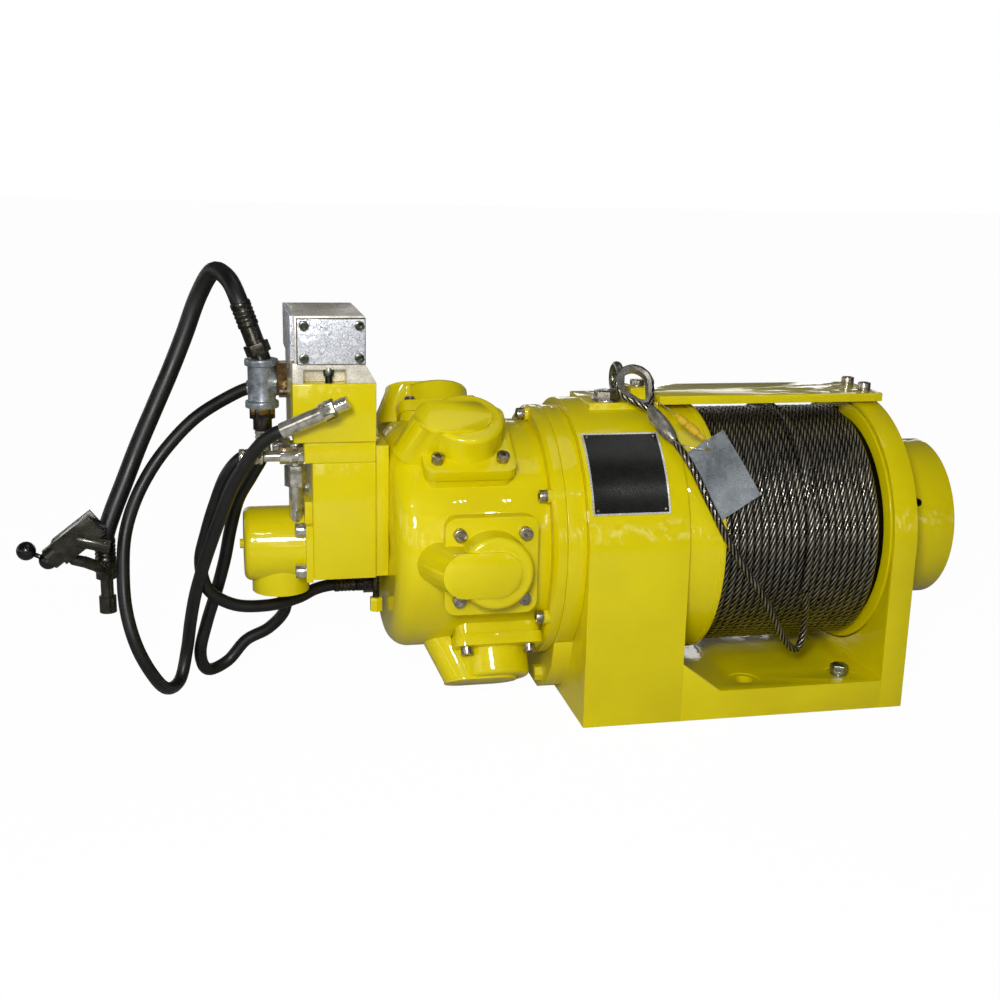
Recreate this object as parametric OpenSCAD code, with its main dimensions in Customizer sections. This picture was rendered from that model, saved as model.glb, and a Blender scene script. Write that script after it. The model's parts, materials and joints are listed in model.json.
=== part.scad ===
// Air winch: a radial six cylinder air motor drives a rope drum through planet gears.
// Lengths in millimetres. X runs along the drum, the open front looks along -Y, Z is up.
// The origin is the middle of the four foot holes, on the face that the winch stands on.

/* [Foot] */
// length of the foot along the drum
foot_length = 360; // [300:1:500]
// width of the foot, and of the arches that stand on it
foot_width = 287.6; // [260:0.2:400]
// thickness of the foot plate
foot_thickness = 31.3; // [16:0.1:50]
// height of the drum axis
axis_height = 176.6; // [165:0.1:260]
// distance from the left end of the foot to the first pair of holes
hole_inset = 187; // [150:1:250]
// distance between the two pairs of holes along the drum
hole_pitch_x = 111; // [60:1:130]
// distance between the holes across the foot
hole_pitch_y = 230; // [180:1:240]
// diameter of the foot holes
hole_diameter = 18; // [10:0.5:24]

/* [Gear housing and frame] */
// length of the gear housing
housing_length = 106.3; // [80:0.1:160]
// thickness of the end plate at the right
end_plate_thickness = 26.2; // [14:0.1:40]
// depth of the round recess in the end plate
recess_depth = 10.5; // [6:0.1:14]
// thickness of the beam that ties the housing to the end plate
beam_thickness = 9.1; // [5:0.1:16]
// width of the tie beam
beam_width = 82.6; // [50:0.2:110]
// height of the top of the end plate, where the beam rests
beam_seat_height = 319.4; // [316:0.1:320]
// diameter of the bearing cover
cover_diameter = 178.6; // [140:0.2:220]
// length of the bearing cover
cover_length = 76; // [50:1:110]

/* [Drum] */
// diameter of the drum's left rim
rim_diameter = 277; // [270:0.5:286]
// length of the drum's left rim
rim_length = 41.1; // [36:0.1:60]
// diameter of the drum's right flange
flange_diameter = 274; // [270:0.5:276]
// thickness of the drum's right flange
flange_thickness = 10.5; // [6:0.1:14]
// diameter of the bare drum barrel
barrel_diameter = 200; // [150:1:210]
// diameter of the wire rope
rope_diameter = 7.8; // [6:0.1:10]
// distance between neighbouring turns of the rope
rope_pitch = 8.3; // [8:0.01:12]
// diameter over the outer layer of rope
rope_layer_diameter = 260; // [240:0.5:264]

/* [Gear train] */
// gear module
gear_module = 3; // [2:0.25:3]
// teeth of the sun wheel
sun_teeth = 12; // [12:1:12]
// teeth of each planet
planet_teeth = 30; // [30:1:30]
// width of the gear teeth
gear_width = 24; // [16:1:27]
// diameter of the planet pins
planet_pin_diameter = 22; // [16:0.5:30]

/* [Air motor] */
// diameter of the motor casing
casing_diameter = 242; // [220:1:250]
// length of the motor casing
casing_length = 156; // [150:1:180]
// diameter of the cylinder bores
piston_diameter = 56; // [40:1:56]
// throw of the crankpin
crank_throw = 22; // [14:1:24]
// length of a connecting rod between its centres
rod_length = 100; // [96:1:101]
// diameter of the crankshaft journals
journal_diameter = 30; // [22:1:32]
// distance from the axis to the face of a cylinder cover
head_radius = 163; // [158:0.5:175]
// diameter of the round part of a cylinder cover
head_diameter = 74; // [66:1:78]

/* [Valve end] */
// width of the upper valve block across the winch
upper_block_width = 124; // [100:1:150]
// width of the lower valve block across the winch
lower_block_width = 114; // [90:1:140]
// height of the slide valve body
valve_height = 47; // [36:1:60]
// diameter of the valve spool
spool_diameter = 18; // [12:0.5:24]
// diameter of the pilot unit
pilot_diameter = 78; // [60:1:84]

/* [Hoses] */
// diameter of the main hose
main_hose_diameter = 18.5; // [14:0.5:20]
// diameter of the thin hoses
thin_hose_diameter = 13.4; // [10:0.2:14]

/* [Hidden] */
$fn = 64;
over = 1;
touch = 0.3;
running = 0.05;
pattern_x = hole_inset + hole_pitch_x / 2;

arch_radius = foot_width / 2;
pad_rise = 2.6;
pad_top = beam_seat_height + pad_rise;
pad_start = 24;
pad_end = 100;
pad_width = 80;
room_radius = 100;
gusset_length = 43;
gusset_height = 32;
gusset_thickness = 12;
hole_ring_radius = 17;
hole_ring_depth = 0.8;
sump_depth = 20;
sump_half_width = 92;
sump_height = 77;
sump_plug_y = 38;
sump_plug_height = 22;
sump_width_shares = [1, 1, 0.9, 0.6, 0.27];
sump_height_shares = [1, 0.93, 0.57, 0.18, 0];
ring_radius = 136;
ring_left = -20;
flange_chamfer = 4;
flange_boss_left = -38;
boss_radius = 7.5;
ring_screw_circle = 128;
cap_radius = 6.5;
cap_height = 8;
cap_socket_radius = 3.4;
cap_socket_depth = 4;
small_cap_share = 0.7;

plate_left = foot_length - end_plate_thickness;
recess_floor = plate_left + recess_depth;
recess_clearance = 2;
trunnion_bore_radius = 55;
cover_radius = cover_diameter / 2;
cover_wall = 10;
cover_room_radius = cover_radius - cover_wall;
cover_seam = 1;
cover_seam_place = 30;
cover_screw_place = 33;
cover_screw_radius = 4.5;
cover_screw_depth = 6;
cover_screw_angle = 66;
saddle_half_width = 16;
beam_left = 101;
beam_screw_spread = 40;
beam_screw_inset = 12;
beam_screw_radius = 7;
beam_screw_height = 9;
beam_screw_reach = 20;

drum_gap = 0.3;
rim_left = housing_length + drum_gap;
rim_right = rim_left + rim_length;
rim_radius = rim_diameter / 2;
lip_width = 6;
lip_step = 1.5;
flange_radius = flange_diameter / 2;
flange_gap = 1.3;
flange_right = recess_floor - flange_gap;
flange_left = flange_right - flange_thickness;
barrel_radius = barrel_diameter / 2;
barrel_wall = 12;
web_width = 14;
ring_seat_radius = 125;
trunnion_radius = 30;
trunnion_end = 410;
bearing_gap = 0.5;
left_bearing_outer = 36;
left_bearing_width = 11;
stub_radius = 20;

rope_radius = rope_diameter / 2;
rope_clear = 0.3;
rope_line_radius = rope_layer_diameter / 2 - rope_radius;
core_radius = rope_line_radius - rope_radius - rope_clear;
rope_start = rim_right + rope_radius + rope_clear;
rope_stop = flange_left - rope_radius - rope_clear;
rope_turns = (rope_stop - rope_start) / rope_pitch;
rope_rings = 24;
rope_sides = 6;
rope_dive_share = 2.6;

ring_teeth = sun_teeth + 2 * planet_teeth;
sun_pitch_radius = gear_module * sun_teeth / 2;
planet_pitch_radius = gear_module * planet_teeth / 2;
ring_pitch_radius = gear_module * ring_teeth / 2;
planet_centre = sun_pitch_radius + planet_pitch_radius;
backlash = 0.3;
pressure_angle = 20;
tip_share = 0.8;
sun_tip_share = 0.9;
root_share = 1.25;
ring_root_share = 1.1;
gear_left = 113;
gear_right = gear_left + gear_width;
gear_side = 1;
planet_count = 3;
planet_pin_radius = planet_pin_diameter / 2;
planet_half_tooth = 180 / planet_teeth;
ring_half_tooth = 180 / ring_teeth;
carrier_left = 94;
carrier_thickness = 14;
carrier_bore_radius = 22;
cage_radius = 84;
cage_thickness = 8;
cage_left = gear_right + gear_side;
stub_end = rim_right + web_width + drum_gap;
sun_seat_radius = 9;

casing_radius = casing_diameter / 2;
casing_right = -34;
casing_left = casing_right - casing_length;
casing_round = 22;
crankcase_radius = 58;
crankcase_left = -146;
crankcase_right = -58;
heads_middle = -98;
rod_pitch = 8.25;
stagger_shares = [-2, 0, 2, 1, -1, -3];
head_count = 6;
head_angles = [for (i = [0 : head_count - 1]) 30 + i * 360 / head_count];
pad_length = 94;
pad_across = 100;
pad_round = 12;
pad_seat = 122;
pad_face = 134;
pad_inset = 2;
pad_root = 90;
piston_radius = piston_diameter / 2;
piston_clear = 0.05;
piston_crown = 26;
piston_skirt = 20;
piston_wall = 5;
bore_top = 146;
bore_bottom = sqrt(crankcase_radius * crankcase_radius - piston_radius * piston_radius) - over;
pin_radius = 8;
crankpin_radius = 11;
crankpin_angle = 0;
web_radius = 44;
web_thickness = 15;
rod_width = 7.5;
rod_half = 8;
rod_eye = 16;
journal_radius = journal_diameter / 2;
bearing_outer = 32;
head_disc_radius = head_diameter / 2;
head_round = 5;
duct_radius = 22;
duct_side = 0.4;
duct_base = 112;
duct_nose = 30;
duct_slope = 24;
lid_radius = 23;
lid_height = 2.5;
lid_left = 31;
lid_right = 1;
screw_along = 33.1;
screw_across = 33.8;
drain_radius = 9;
drain_height = 8;
rotary_radius = 32;
rotary_left = casing_left + 4;
rotary_right = -164;
main_bearing_left = -162;
main_bearing_width = 14;

valve_flange_left = -204;
lower_left = -268;
lower_right = valve_flange_left;
lower_bottom = 145;
valve_flange_half = 52;
valve_flange_top = 284;
valve_flange_bottom = lower_bottom;
mid_bottom = 268;
middle_left = -276;
upper_left = -287;
upper_bottom = 290;
upper_top = 349.5;
foot_top = 370;
foot_left = upper_left;
foot_slope = 12;
valve_left = -285;
valve_right = -216;
valve_half = 65;
valve_top = foot_top + valve_height;
valve_notch_left = -276;
valve_notch_right = -234;
valve_notch_depth = 14;
valve_notch_height = 14;
valve_plate = 4;
valve_plate_inset = 3;
valve_screw_inset = 6;
spool_radius = spool_diameter / 2;
spool_half = 48;
spool_travel = 6;
spool_land = 14;
spool_neck_share = 0.55;
valve_room_half = spool_half + spool_travel + 2 * touch;
pilot_radius = pilot_diameter / 2;
pilot_height = 171;
pilot_flange_half_width = 52;
pilot_flange_half_height = 30;
pilot_neck_half_width = 40;
pilot_neck_top = 224;
pilot_flange = 7;
pilot_right = lower_left - pilot_flange;
pilot_left = -337;
pilot_round = 8;
pilot_boss_x = -299;
pilot_boss_radius = 30;
pilot_boss_bottom = 120;
pilot_screw_across = 45;
pilot_screw_up = 22;
nub_radius = 5;
nub_length = 4;

tee_x = -315;
tee_y = -10;
tee_drop = 6.5;
tee_height = upper_top - tee_drop;
tee_half = 25;
tee_radius = 14;
tee_collar_radius = 17;
tee_collar = 7;
tee_branch = 17;
nut_left = -298;
nut_radius = 15;
swivel_lean = 19.4;
swivel_length = 34;
swivel_radius = 9.6;
swivel_nut_radius = 13;
swivel_nut_height = 11;
lower_swivel_length = 23;
lower_fitting_y = -45;
lower_fitting_height = 274;
upper_fitting_y = -18;
upper_fitting_height = 279;
fitting_left = -316;
upper_fitting_left = -306;
fitting_radius = 5.5;
fitting_nut_radius = 8.5;
fitting_nut_length = 12;
fitting_nut_place = -294;
fitting_collar_place = -279;
stem_x = -283;
stem_y = -20;
stem_top = 262;
stem_radius = 7;
stem_nut_radius = 11.5;
stem_nut_height = 22;
stem_nut_bottom = 237;
port_x = upper_left;
port_length = 16;
port_y = 40;
port_height = 330;
port_radius = 8;
port_nut_radius = 11;
drop_x = -293;
drop_y = 56;
drop_height = 109;
elbow_right = -215;
elbow_y = 38;
elbow_height = 109;
crimp_length = 44;
crimp_radius = 8;
crimp_nut_radius = 10;
crimp_nut_length = 12;
crimp_tip_length = 16;
crimp_tip_radius = 6.5;

main_hose_route = [[-326.4, -10, 400.4], [-334.4, -10, 423], [-345, 6, 446], [-360, 30, 452], [-376, 45, 425],
    [-391, 46, 386], [-407, 40, 348], [-424, 32, 311], [-441, 22, 274], [-456, 11, 238], [-469, 1, 207],
    [-477, -4, 182], [-477, -4, 159.3]];
long_hose_route = [[-303.3, 40, 330], [-326, 40, 330], [-353, 33, 319], [-381, 23, 303], [-405, 15, 281],
    [-427, 7, 254], [-445, -3, 222], [-456, -13, 188], [-459, -23, 151], [-457, -34, 114], [-448, -42, 78],
    [-434, -36, 44], [-421, -12, 18], [-408, 16, 16], [-400, 27, 46], [-395, 14, 81], [-389, -5, 116],
    [-381, -25, 149], [-371, -39, 182], [-360, -49, 214], [-348.5, -59, 245], [-340, -64, 261.5], [-330.5, -69, 278],
    [-318, -74, 294], [-306.4, -78, 303.4], [-299, -80, 306.6]];
return_hose_route = [[-315, -10, 294.7], [-315, -10, 270], [-327, -6, 246], [-341, 0, 220], [-350, 8, 186],
    [-357, 15, 150], [-367, 22, 112], [-378, 27, 76], [-386, 32, 40], [-379, 45, 15], [-357, 60, 18],
    [-336, 64, 40], [-311, 61, 54], [-293, 56, 76], [-293, 56, 100.7]];
pilot_hose_route = [[-316.3, -45, 274], [-336, -45, 274], [-353, -38, 254], [-365, -26, 222], [-375, -14, 188],
    [-382, -4, 154], [-375, 2, 121], [-348, 8, 101], [-312, 16, 96], [-281, 27, 99], [-260, 35, 106],
    [-240, 38, 109], [-215.3, 38, 109]];
rope_tail_route = [[243, -129, 133], [250, -120, 113], [256, -108, 93], [257, -104, 72], [250, -107, 59],
    [237, -113, 66], [224, -121, 82], [212, -127, 102], [199, -133, 122], [186, -137, 141], [171, -140, 160],
    [157, -142, 180], [144, -143, 200], [133, -141, 221], [123, -134, 242], [114, -127, 262],
    [105.6, -114.1, 279.8], [98, -98, 293]];

hand_x = -500;
hand_y = -30;
hand_height = 193;
hand_turn = 38;
hand_width = 48;
hand_depth = 26;
hand_drop = 25;
hand_round_radius = 7.5;
hand_round_length = 32;
hand_round_inset = 3;
hand_round_turn = 15;
hand_nose_radius = 11.5;
hand_nose_length = 12;
hand_nose_wall = 2;
lever_out = 2;
lever_pin_radius = 1.5;
lever_pin_half = hand_nose_radius - hand_nose_wall + touch;
lever_turn = 65;
lever_radius = 2.4;
lever_length = 23;
knob_radius = 9.5;
grip_radius = 6;
grip_route = [[-510, -30, 176], [-505, -30, 169], [-495, -29, 166], [-485, -24, 160], [-479, -14, 152],
    [-477, -6, 145]];
end_fitting_radius = 10.5;
end_fitting_top = 159;
end_fitting_height = 18;
end_pipe_radius = 6.5;
end_collar_radius = 8.7;
end_collar_height = 17;
end_fitting_bottom = 104;
end_fitting_x = -477;
end_fitting_y = -4;

eye_x = 65;
eye_collar_radius = 9;
eye_collar_height = 6;
eye_ring_radius = 14;
eye_wire_radius = 4.5;
oil_x = 47;
oil_y = -23;
oil_radius = 13.5;
oil_height = 13;
raised_left = 76;
raised_width = 34;
raised_height = 12;
raised_bolt_radius = 8;
raised_bolt_height = 6;
name_left = 4;
name_length = 82;
name_height = 72;
name_drop = 48;
name_thickness = 1.5;
loop_x = 70;
loop_y = -47;
loop_height = 343;
loop_radius = 18;
loop_lean = -28;
loop_throat = 60;
throat_length = 5;
ferrule_turn = -65;
groove_radius = 3;
ferrule_length = 42;
ferrule_radius = 7.5;
tag_x = 152.9;
tag_y = -121;
tag_height = 258;
tag_width = 46;
tag_tall = 84;
tag_turn = -34.5;
tag_lean = -18.4;
tag_thickness = 1;
tag_hole = 33;
tag_hole_radius = 2.5;
tag_wire_radius = 0.8;
tag_wire_route = [[134, -108, 284], [126, -112, 286], [114, -113, 292], [104, -110, 299], [98, -103, 305],
    [95, -94, 310]];

function unit(v) = v / norm(v);
function mix(a, b, t) = a + (b - a) * t;

module place() translate([-pattern_x, 0, 0]) children();
module on_axis() translate([0, 0, axis_height]) children();

// a round bar along the drum axis between two stations
module bar(x0, x1, r) on_axis() translate([x0, 0, 0]) rotate([0, 90, 0]) cylinder(h = x1 - x0, r = r);

// a round bar along X anywhere
module rod_x(x0, x1, y, z, r) translate([x0, y, z]) rotate([0, 90, 0]) cylinder(h = x1 - x0, r = r);

module hex_x(x0, x1, y, z, r) translate([x0, y, z]) rotate([0, 90, 0]) cylinder(h = x1 - x0, r = r, $fn = 6);

module block(x0, x1, y0, y1, z0, z1) translate([x0, y0, z0]) cube([x1 - x0, y1 - y0, z1 - z0]);

// a flat outline across the winch, drawn out along X
module across(x0, x1) translate([x0, 0, 0]) rotate([90, 0, 90]) linear_extrude(x1 - x0) children();

module arch_outline(top) {
    intersection() {
        union() {
            translate([0, axis_height]) circle(r = arch_radius, $fn = 128);
            translate([-arch_radius, 0]) square([2 * arch_radius, axis_height]);
        }
        translate([-arch_radius, 0]) square([2 * arch_radius, top]);
    }
}

module cap_screw(share = 1) {
    difference() {
        cylinder(h = cap_height * share, r = cap_radius * share, $fn = 24);
        translate([0, 0, (cap_height - cap_socket_depth) * share])
            cylinder(h = cap_socket_depth * share + over, r = cap_socket_radius * share, $fn = 6);
    }
}

// Frame

module base_plate() color("#D8C814") place() difference() {
    union() {
        block(housing_length, plate_left, -arch_radius, arch_radius, 0, foot_thickness);
        for (side = [-1, 1]) translate([0, side * (arch_radius - gusset_thickness / 2), 0])
            rotate([90, 0, 0]) translate([0, 0, -gusset_thickness / 2])
                linear_extrude(gusset_thickness) polygon([[housing_length, foot_thickness],
                    [housing_length + gusset_length, foot_thickness],
                    [housing_length, foot_thickness + gusset_height]]);
    }
    foot_holes();
}

module foot_holes() {
    for (x = [0, 1], side = [-1, 1]) {
        translate([hole_inset + x * hole_pitch_x, side * hole_pitch_y / 2, -over])
            cylinder(h = foot_thickness + 2 * over, d = hole_diameter);
        translate([hole_inset + x * hole_pitch_x, side * hole_pitch_y / 2, foot_thickness - hole_ring_depth])
            cylinder(h = hole_ring_depth + over, r = hole_ring_radius);
    }
}

module sump_outline() {
    points = [for (i = [0 : len(sump_width_shares) - 1])
        [sump_half_width * sump_width_shares[i], sump_height * sump_height_shares[i]]];
    mirrored = [for (i = [len(points) - 1 : -1 : 0]) [-points[i][0], points[i][1]]];
    polygon(concat(points, mirrored));
}

module gear_housing() color("#D8C814") place() difference() {
    union() {
        across(0, housing_length) arch_outline(axis_height + arch_radius);
        block(pad_start, pad_end, -pad_width / 2, pad_width / 2, axis_height, pad_top);
        across(-sump_depth, 0) sump_outline();
    }
    bar(-over, housing_length + over, room_radius);
    bar(-sump_depth - over, 0, ring_radius + touch);
    block(beam_left, housing_length + over, -arch_radius, arch_radius, beam_seat_height, pad_top + over);
}

module end_plate() color("#D8C814") place() difference() {
    union() {
        across(plate_left, foot_length) arch_outline(beam_seat_height);
        block(plate_left, foot_length, -saddle_half_width, saddle_half_width, axis_height, beam_seat_height);
    }
    bar(plate_left - over, recess_floor, flange_radius + recess_clearance);
    bar(plate_left, foot_length + over, trunnion_bore_radius);
    for (side = [-1, 1]) translate([foot_length - beam_screw_inset, side * beam_screw_spread / 2,
        beam_seat_height - beam_screw_reach])
        cylinder(h = beam_screw_reach + over, r = beam_screw_radius / 2 + running);
}

module tie_beam() color("#D8C814") place() difference() {
    union() {
        block(beam_left, foot_length, -beam_width / 2, beam_width / 2, beam_seat_height,
            beam_seat_height + beam_thickness);
        block(raised_left, beam_left, -raised_width / 2, raised_width / 2, pad_top, pad_top + raised_height);
    }
    for (side = [-1, 1]) translate([foot_length - beam_screw_inset, side * beam_screw_spread / 2,
        beam_seat_height - over]) cylinder(h = beam_thickness + 2 * over, r = beam_screw_radius / 2 + running);
}

module tie_beam_screws() color("#4A4C4A") place() {
    for (side = [-1, 1]) translate([foot_length - beam_screw_inset, side * beam_screw_spread / 2,
        beam_seat_height + beam_thickness]) {
        difference() {
            cylinder(h = beam_screw_height, r = beam_screw_radius);
            translate([0, 0, beam_screw_height / 2])
                cylinder(h = beam_screw_height, r = beam_screw_radius / 2, $fn = 6);
        }
        translate([0, 0, -beam_screw_reach]) cylinder(h = beam_screw_reach, r = beam_screw_radius / 2);
    }
}

cover_end = foot_length + cover_length;

module bearing_cover() color("#D8C814") place() difference() {
    bar(foot_length, cover_end, cover_radius);
    bar(foot_length - over, cover_end - cover_wall, cover_room_radius);
    on_axis() translate([foot_length + cover_seam_place, 0, 0]) rotate([0, 90, 0]) difference() {
        cylinder(h = cover_seam, r = cover_radius + over);
        translate([0, 0, -over]) cylinder(h = cover_seam + 2 * over, r = cover_radius - cover_seam);
    }
    cover_screw_place_at() cylinder(h = cover_screw_depth + over, r = cover_screw_radius);
}

module cover_screw_place_at() on_axis() translate([foot_length + cover_screw_place, 0, 0])
    rotate([cover_screw_angle, 0, 0]) translate([0, 0, cover_radius - cover_screw_depth]) children();

module cover_screw() color("#2A2B2A") place() cover_screw_place_at() difference() {
    cylinder(h = cover_screw_depth, r = cover_screw_radius);
    translate([0, 0, cover_screw_depth / 2]) cylinder(h = cover_screw_depth, r = cover_screw_radius / 2, $fn = 6);
}

// Drum, rope and gears

module drum() color("#D8C814") place() on_axis() rotate([0, 90, 0]) difference() {
    rotate_extrude($fn = 128) polygon([
        [ring_seat_radius, rim_left], [rim_radius - lip_step, rim_left],
        [rim_radius - lip_step, rim_right - lip_width], [rim_radius, rim_right - lip_width],
        [rim_radius, rim_right], [barrel_radius, rim_right], [barrel_radius, flange_left],
        [flange_radius, flange_left], [flange_radius, flange_right], [trunnion_radius, flange_right],
        [trunnion_radius, trunnion_end], [0, trunnion_end], [0, flange_right - web_width],
        [barrel_radius - barrel_wall, flange_right - web_width],
        [barrel_radius - barrel_wall, rim_right + web_width], [left_bearing_outer, rim_right + web_width],
        [left_bearing_outer, rim_right], [ring_seat_radius, rim_right]]);
}

module drum_bearings() color("#9A9C9E") place() {
    difference() {
        bar(rim_right + web_width - left_bearing_width, rim_right + web_width, left_bearing_outer);
        bar(rim_right, rim_right + web_width + over, stub_radius + running);
    }
}

module end_bearing() color("#9A9C9E") place() difference() {
    bar(recess_floor, foot_length, trunnion_bore_radius);
    bar(recess_floor - over, foot_length + over, trunnion_radius + running);
}

module rope_core() color("#3A3836") place() difference() {
    bar(rim_right, flange_left, core_radius, $fn = 128);
    bar(rim_right - over, flange_left + over, barrel_radius);
}

// rings of a tube along a route of points, with its first and last faces square to it
function along(route, i) = i == 0 ? unit(route[1] - route[0])
    : i == len(route) - 1 ? unit(route[i] - route[i - 1])
    : unit(unit(route[i] - route[i - 1]) + unit(route[i + 1] - route[i]));
function carry(v, t) = unit(v - (v * t) * t);
function sides(route, i, first) = i == 0 ? [carry(first, along(route, 0))]
    : let (before = sides(route, i - 1, first)) concat(before, [carry(before[i - 1], along(route, i))]);

module tube(route, r, n, first = [0, 1, 0]) {
    last = len(route) - 1;
    u = sides(route, last, first);
    points = [for (i = [0 : last]) let (t = along(route, i), v = cross(t, u[i]))
        for (k = [0 : n - 1]) route[i] + r * (cos(360 * k / n) * u[i] + sin(360 * k / n) * v)];
    walls = [for (i = [0 : last - 1], k = [0 : n - 1]) let (a = i * n + k, b = i * n + (k + 1) % n)
        each [[a, a + n, b + n], [a, b + n, b]]];
    polyhedron(points, concat([[for (k = [0 : n - 1]) k]], walls,
        [[for (k = [n - 1 : -1 : 0]) last * n + k]]), convexity = 10);
}

rope_steps = floor(rope_turns * rope_rings);
function rope_place(r, a, x) = [x, -r * sin(a), r * cos(a)];
// the first and last rings dip straight towards the axis
function rope_route() = concat(
    [rope_place(rope_line_radius - rope_dive_share * rope_diameter, -12, rope_start),
        rope_place(rope_line_radius - (rope_dive_share - 1) * rope_diameter, -12, rope_start),
        rope_place(rope_line_radius - rope_radius, -10.5, rope_start),
        rope_place(rope_line_radius - rope_radius * 0.25, -6, rope_start)],
    [for (i = [0 : rope_steps]) rope_place(rope_line_radius, i * 360 / rope_rings,
        rope_start + i * rope_pitch / rope_rings)],
    [let (a = rope_steps * 360 / rope_rings, x = rope_start + rope_steps * rope_pitch / rope_rings)
        each [rope_place(rope_line_radius - rope_radius * 0.25, a + 6, x),
        rope_place(rope_line_radius - rope_radius, a + 10.5, x),
        rope_place(rope_line_radius - (rope_dive_share - 1) * rope_diameter, a + 12, x),
        rope_place(rope_line_radius - rope_dive_share * rope_diameter, a + 12, x)]]);
echo(rope_gap = rope_pitch - rope_diameter, rope_turns = rope_turns);

module rope_winding() color("#45413E") place() on_axis() tube(rope_route(), rope_radius, rope_sides, [1, 0, 0]);

// involute outline: half the angle of a tooth at radius r, for a tooth of pitch radius p
function inv(a) = tan(a) * 180 / PI - a;
function half_tooth(r, p, teeth, extra) = let (base = p * cos(pressure_angle))
    90 / teeth + extra / p * 90 / PI + inv(pressure_angle) - inv(acos(min(1, base / max(r, base))));
gear_steps = 5;
function flank(p, r0, r1, teeth, extra) = [for (i = [0 : gear_steps])
    let (r = mix(r0, r1, i / gear_steps)) [r, half_tooth(r, p, teeth, extra)]];
function gear_points(p, r0, r1, teeth, extra) = [for (k = [0 : teeth - 1]) let (f = flank(p, r0, r1, teeth, extra))
    each concat([for (q = f) [q[0] * cos(360 * k / teeth - q[1]), q[0] * sin(360 * k / teeth - q[1])]],
        [for (i = [gear_steps : -1 : 0]) [f[i][0] * cos(360 * k / teeth + f[i][1]),
            f[i][0] * sin(360 * k / teeth + f[i][1])]])];

module gear(p, teeth, tip) polygon(gear_points(p, p - root_share * gear_module, p + tip * gear_module,
    teeth, -backlash));

module ring_gear() color("#8C8E90") place() on_axis() rotate([0, 90, 0]) rotate(90)
    translate([0, 0, gear_left - gear_side]) linear_extrude(gear_width + 2 * gear_side) difference() {
        circle(r = ring_seat_radius, $fn = 128);
        rotate(ring_half_tooth) polygon(gear_points(ring_pitch_radius, ring_pitch_radius - tip_share * gear_module,
            ring_pitch_radius + ring_root_share * gear_module, ring_teeth, backlash));
    }

module sun_gear() color("#9A9C9E") place() on_axis() rotate([0, 90, 0]) rotate(90)
    translate([0, 0, gear_left]) linear_extrude(gear_width) difference() {
        gear(sun_pitch_radius, sun_teeth, sun_tip_share);
        circle(r = sun_seat_radius);
    }

module planet(i) color("#8C8E90") place() on_axis() rotate([0, 90, 0]) rotate(90 + i * 360 / planet_count)
    translate([planet_centre, 0, gear_left]) rotate(180 - planet_half_tooth) linear_extrude(gear_width) difference() {
        gear(planet_pitch_radius, planet_teeth, tip_share);
        circle(r = planet_pin_radius + running);
    }

module planet_a() planet(0);
module planet_b() planet(1);
module planet_c() planet(2);

module planet_spots() on_axis() rotate([0, 90, 0]) rotate(90)
    for (i = [0 : planet_count - 1]) rotate(i * 360 / planet_count) translate([planet_centre, 0, 0]) children();

module carrier() color("#7C7E80") place() difference() {
    bar(carrier_left, carrier_left + carrier_thickness, room_radius);
    bar(carrier_left - over, carrier_left + carrier_thickness + over, carrier_bore_radius);
    planet_spots() translate([0, 0, carrier_left - over])
        cylinder(h = carrier_thickness + 2 * over, r = planet_pin_radius);
}

module planet_cage() color("#7C7E80") place() difference() {
    union() {
        bar(cage_left, cage_left + cage_thickness, cage_radius);
        bar(cage_left + cage_thickness, stub_end, stub_radius);
        planet_spots() translate([0, 0, carrier_left])
            cylinder(h = cage_left + cage_thickness - carrier_left, r = planet_pin_radius);
    }
    bar(carrier_left, cage_left + over, sun_seat_radius + 2 * over);
}

// Holding brake inside the bearing cover

brake_start = foot_length + 6;
brake_disc_radius = 62;
brake_bore_radius = 36;
brake_disc = 4;
brake_step = 8.6;
brake_count = 3;
brake_piston_left = brake_start + brake_count * brake_step + brake_disc + touch;
brake_piston_thickness = 10;
spring_left = brake_piston_left + brake_piston_thickness + running;
spring_radius = 6;
spring_circle = 54;
spring_count = 6;

module brake_discs() color("#6B5A48") place() for (i = [0 : brake_count - 1]) difference() {
    bar(brake_start + brake_disc + touch + i * brake_step, brake_start + 2 * brake_disc + touch + i * brake_step,
        brake_disc_radius);
    bar(foot_length, cover_end, trunnion_radius + running);
}

module brake_plates() color("#8C8E90") place() for (i = [0 : brake_count]) difference() {
    bar(brake_start + i * brake_step, brake_start + brake_disc + i * brake_step, cover_room_radius);
    bar(foot_length, cover_end, brake_bore_radius);
}

module brake_piston() color("#9A9C9E") place() difference() {
    bar(brake_piston_left, brake_piston_left + brake_piston_thickness, cover_room_radius - running);
    bar(foot_length, cover_end, brake_bore_radius);
}

module brake_springs() color("#5A5C5E") place() on_axis() rotate([0, 90, 0])
    for (i = [0 : spring_count - 1]) rotate(i * 360 / spring_count)
        translate([spring_circle, 0, spring_left]) cylinder(h = cover_end - cover_wall - spring_left,
            r = spring_radius);

// Air motor

function head_x(i) = heads_middle + rod_pitch * stagger_shares[i];

module at_head(i) on_axis() rotate([head_angles[i], 0, 0]) translate([head_x(i), 0, 0]) children();

module pad(r0, r1, inset) translate([0, 0, r0]) linear_extrude(r1 - r0) {
    a = pad_length / 2 - inset;
    b = pad_across / 2 - inset;
    square([2 * a, 2 * (b - pad_round)], center = true);
    square([2 * (a - pad_round), 2 * b], center = true);
    for (sx = [-1, 1], sy = [-1, 1]) translate([sx * (a - pad_round), sy * (b - pad_round)])
        circle(r = pad_round, $fn = 32);
}

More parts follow.
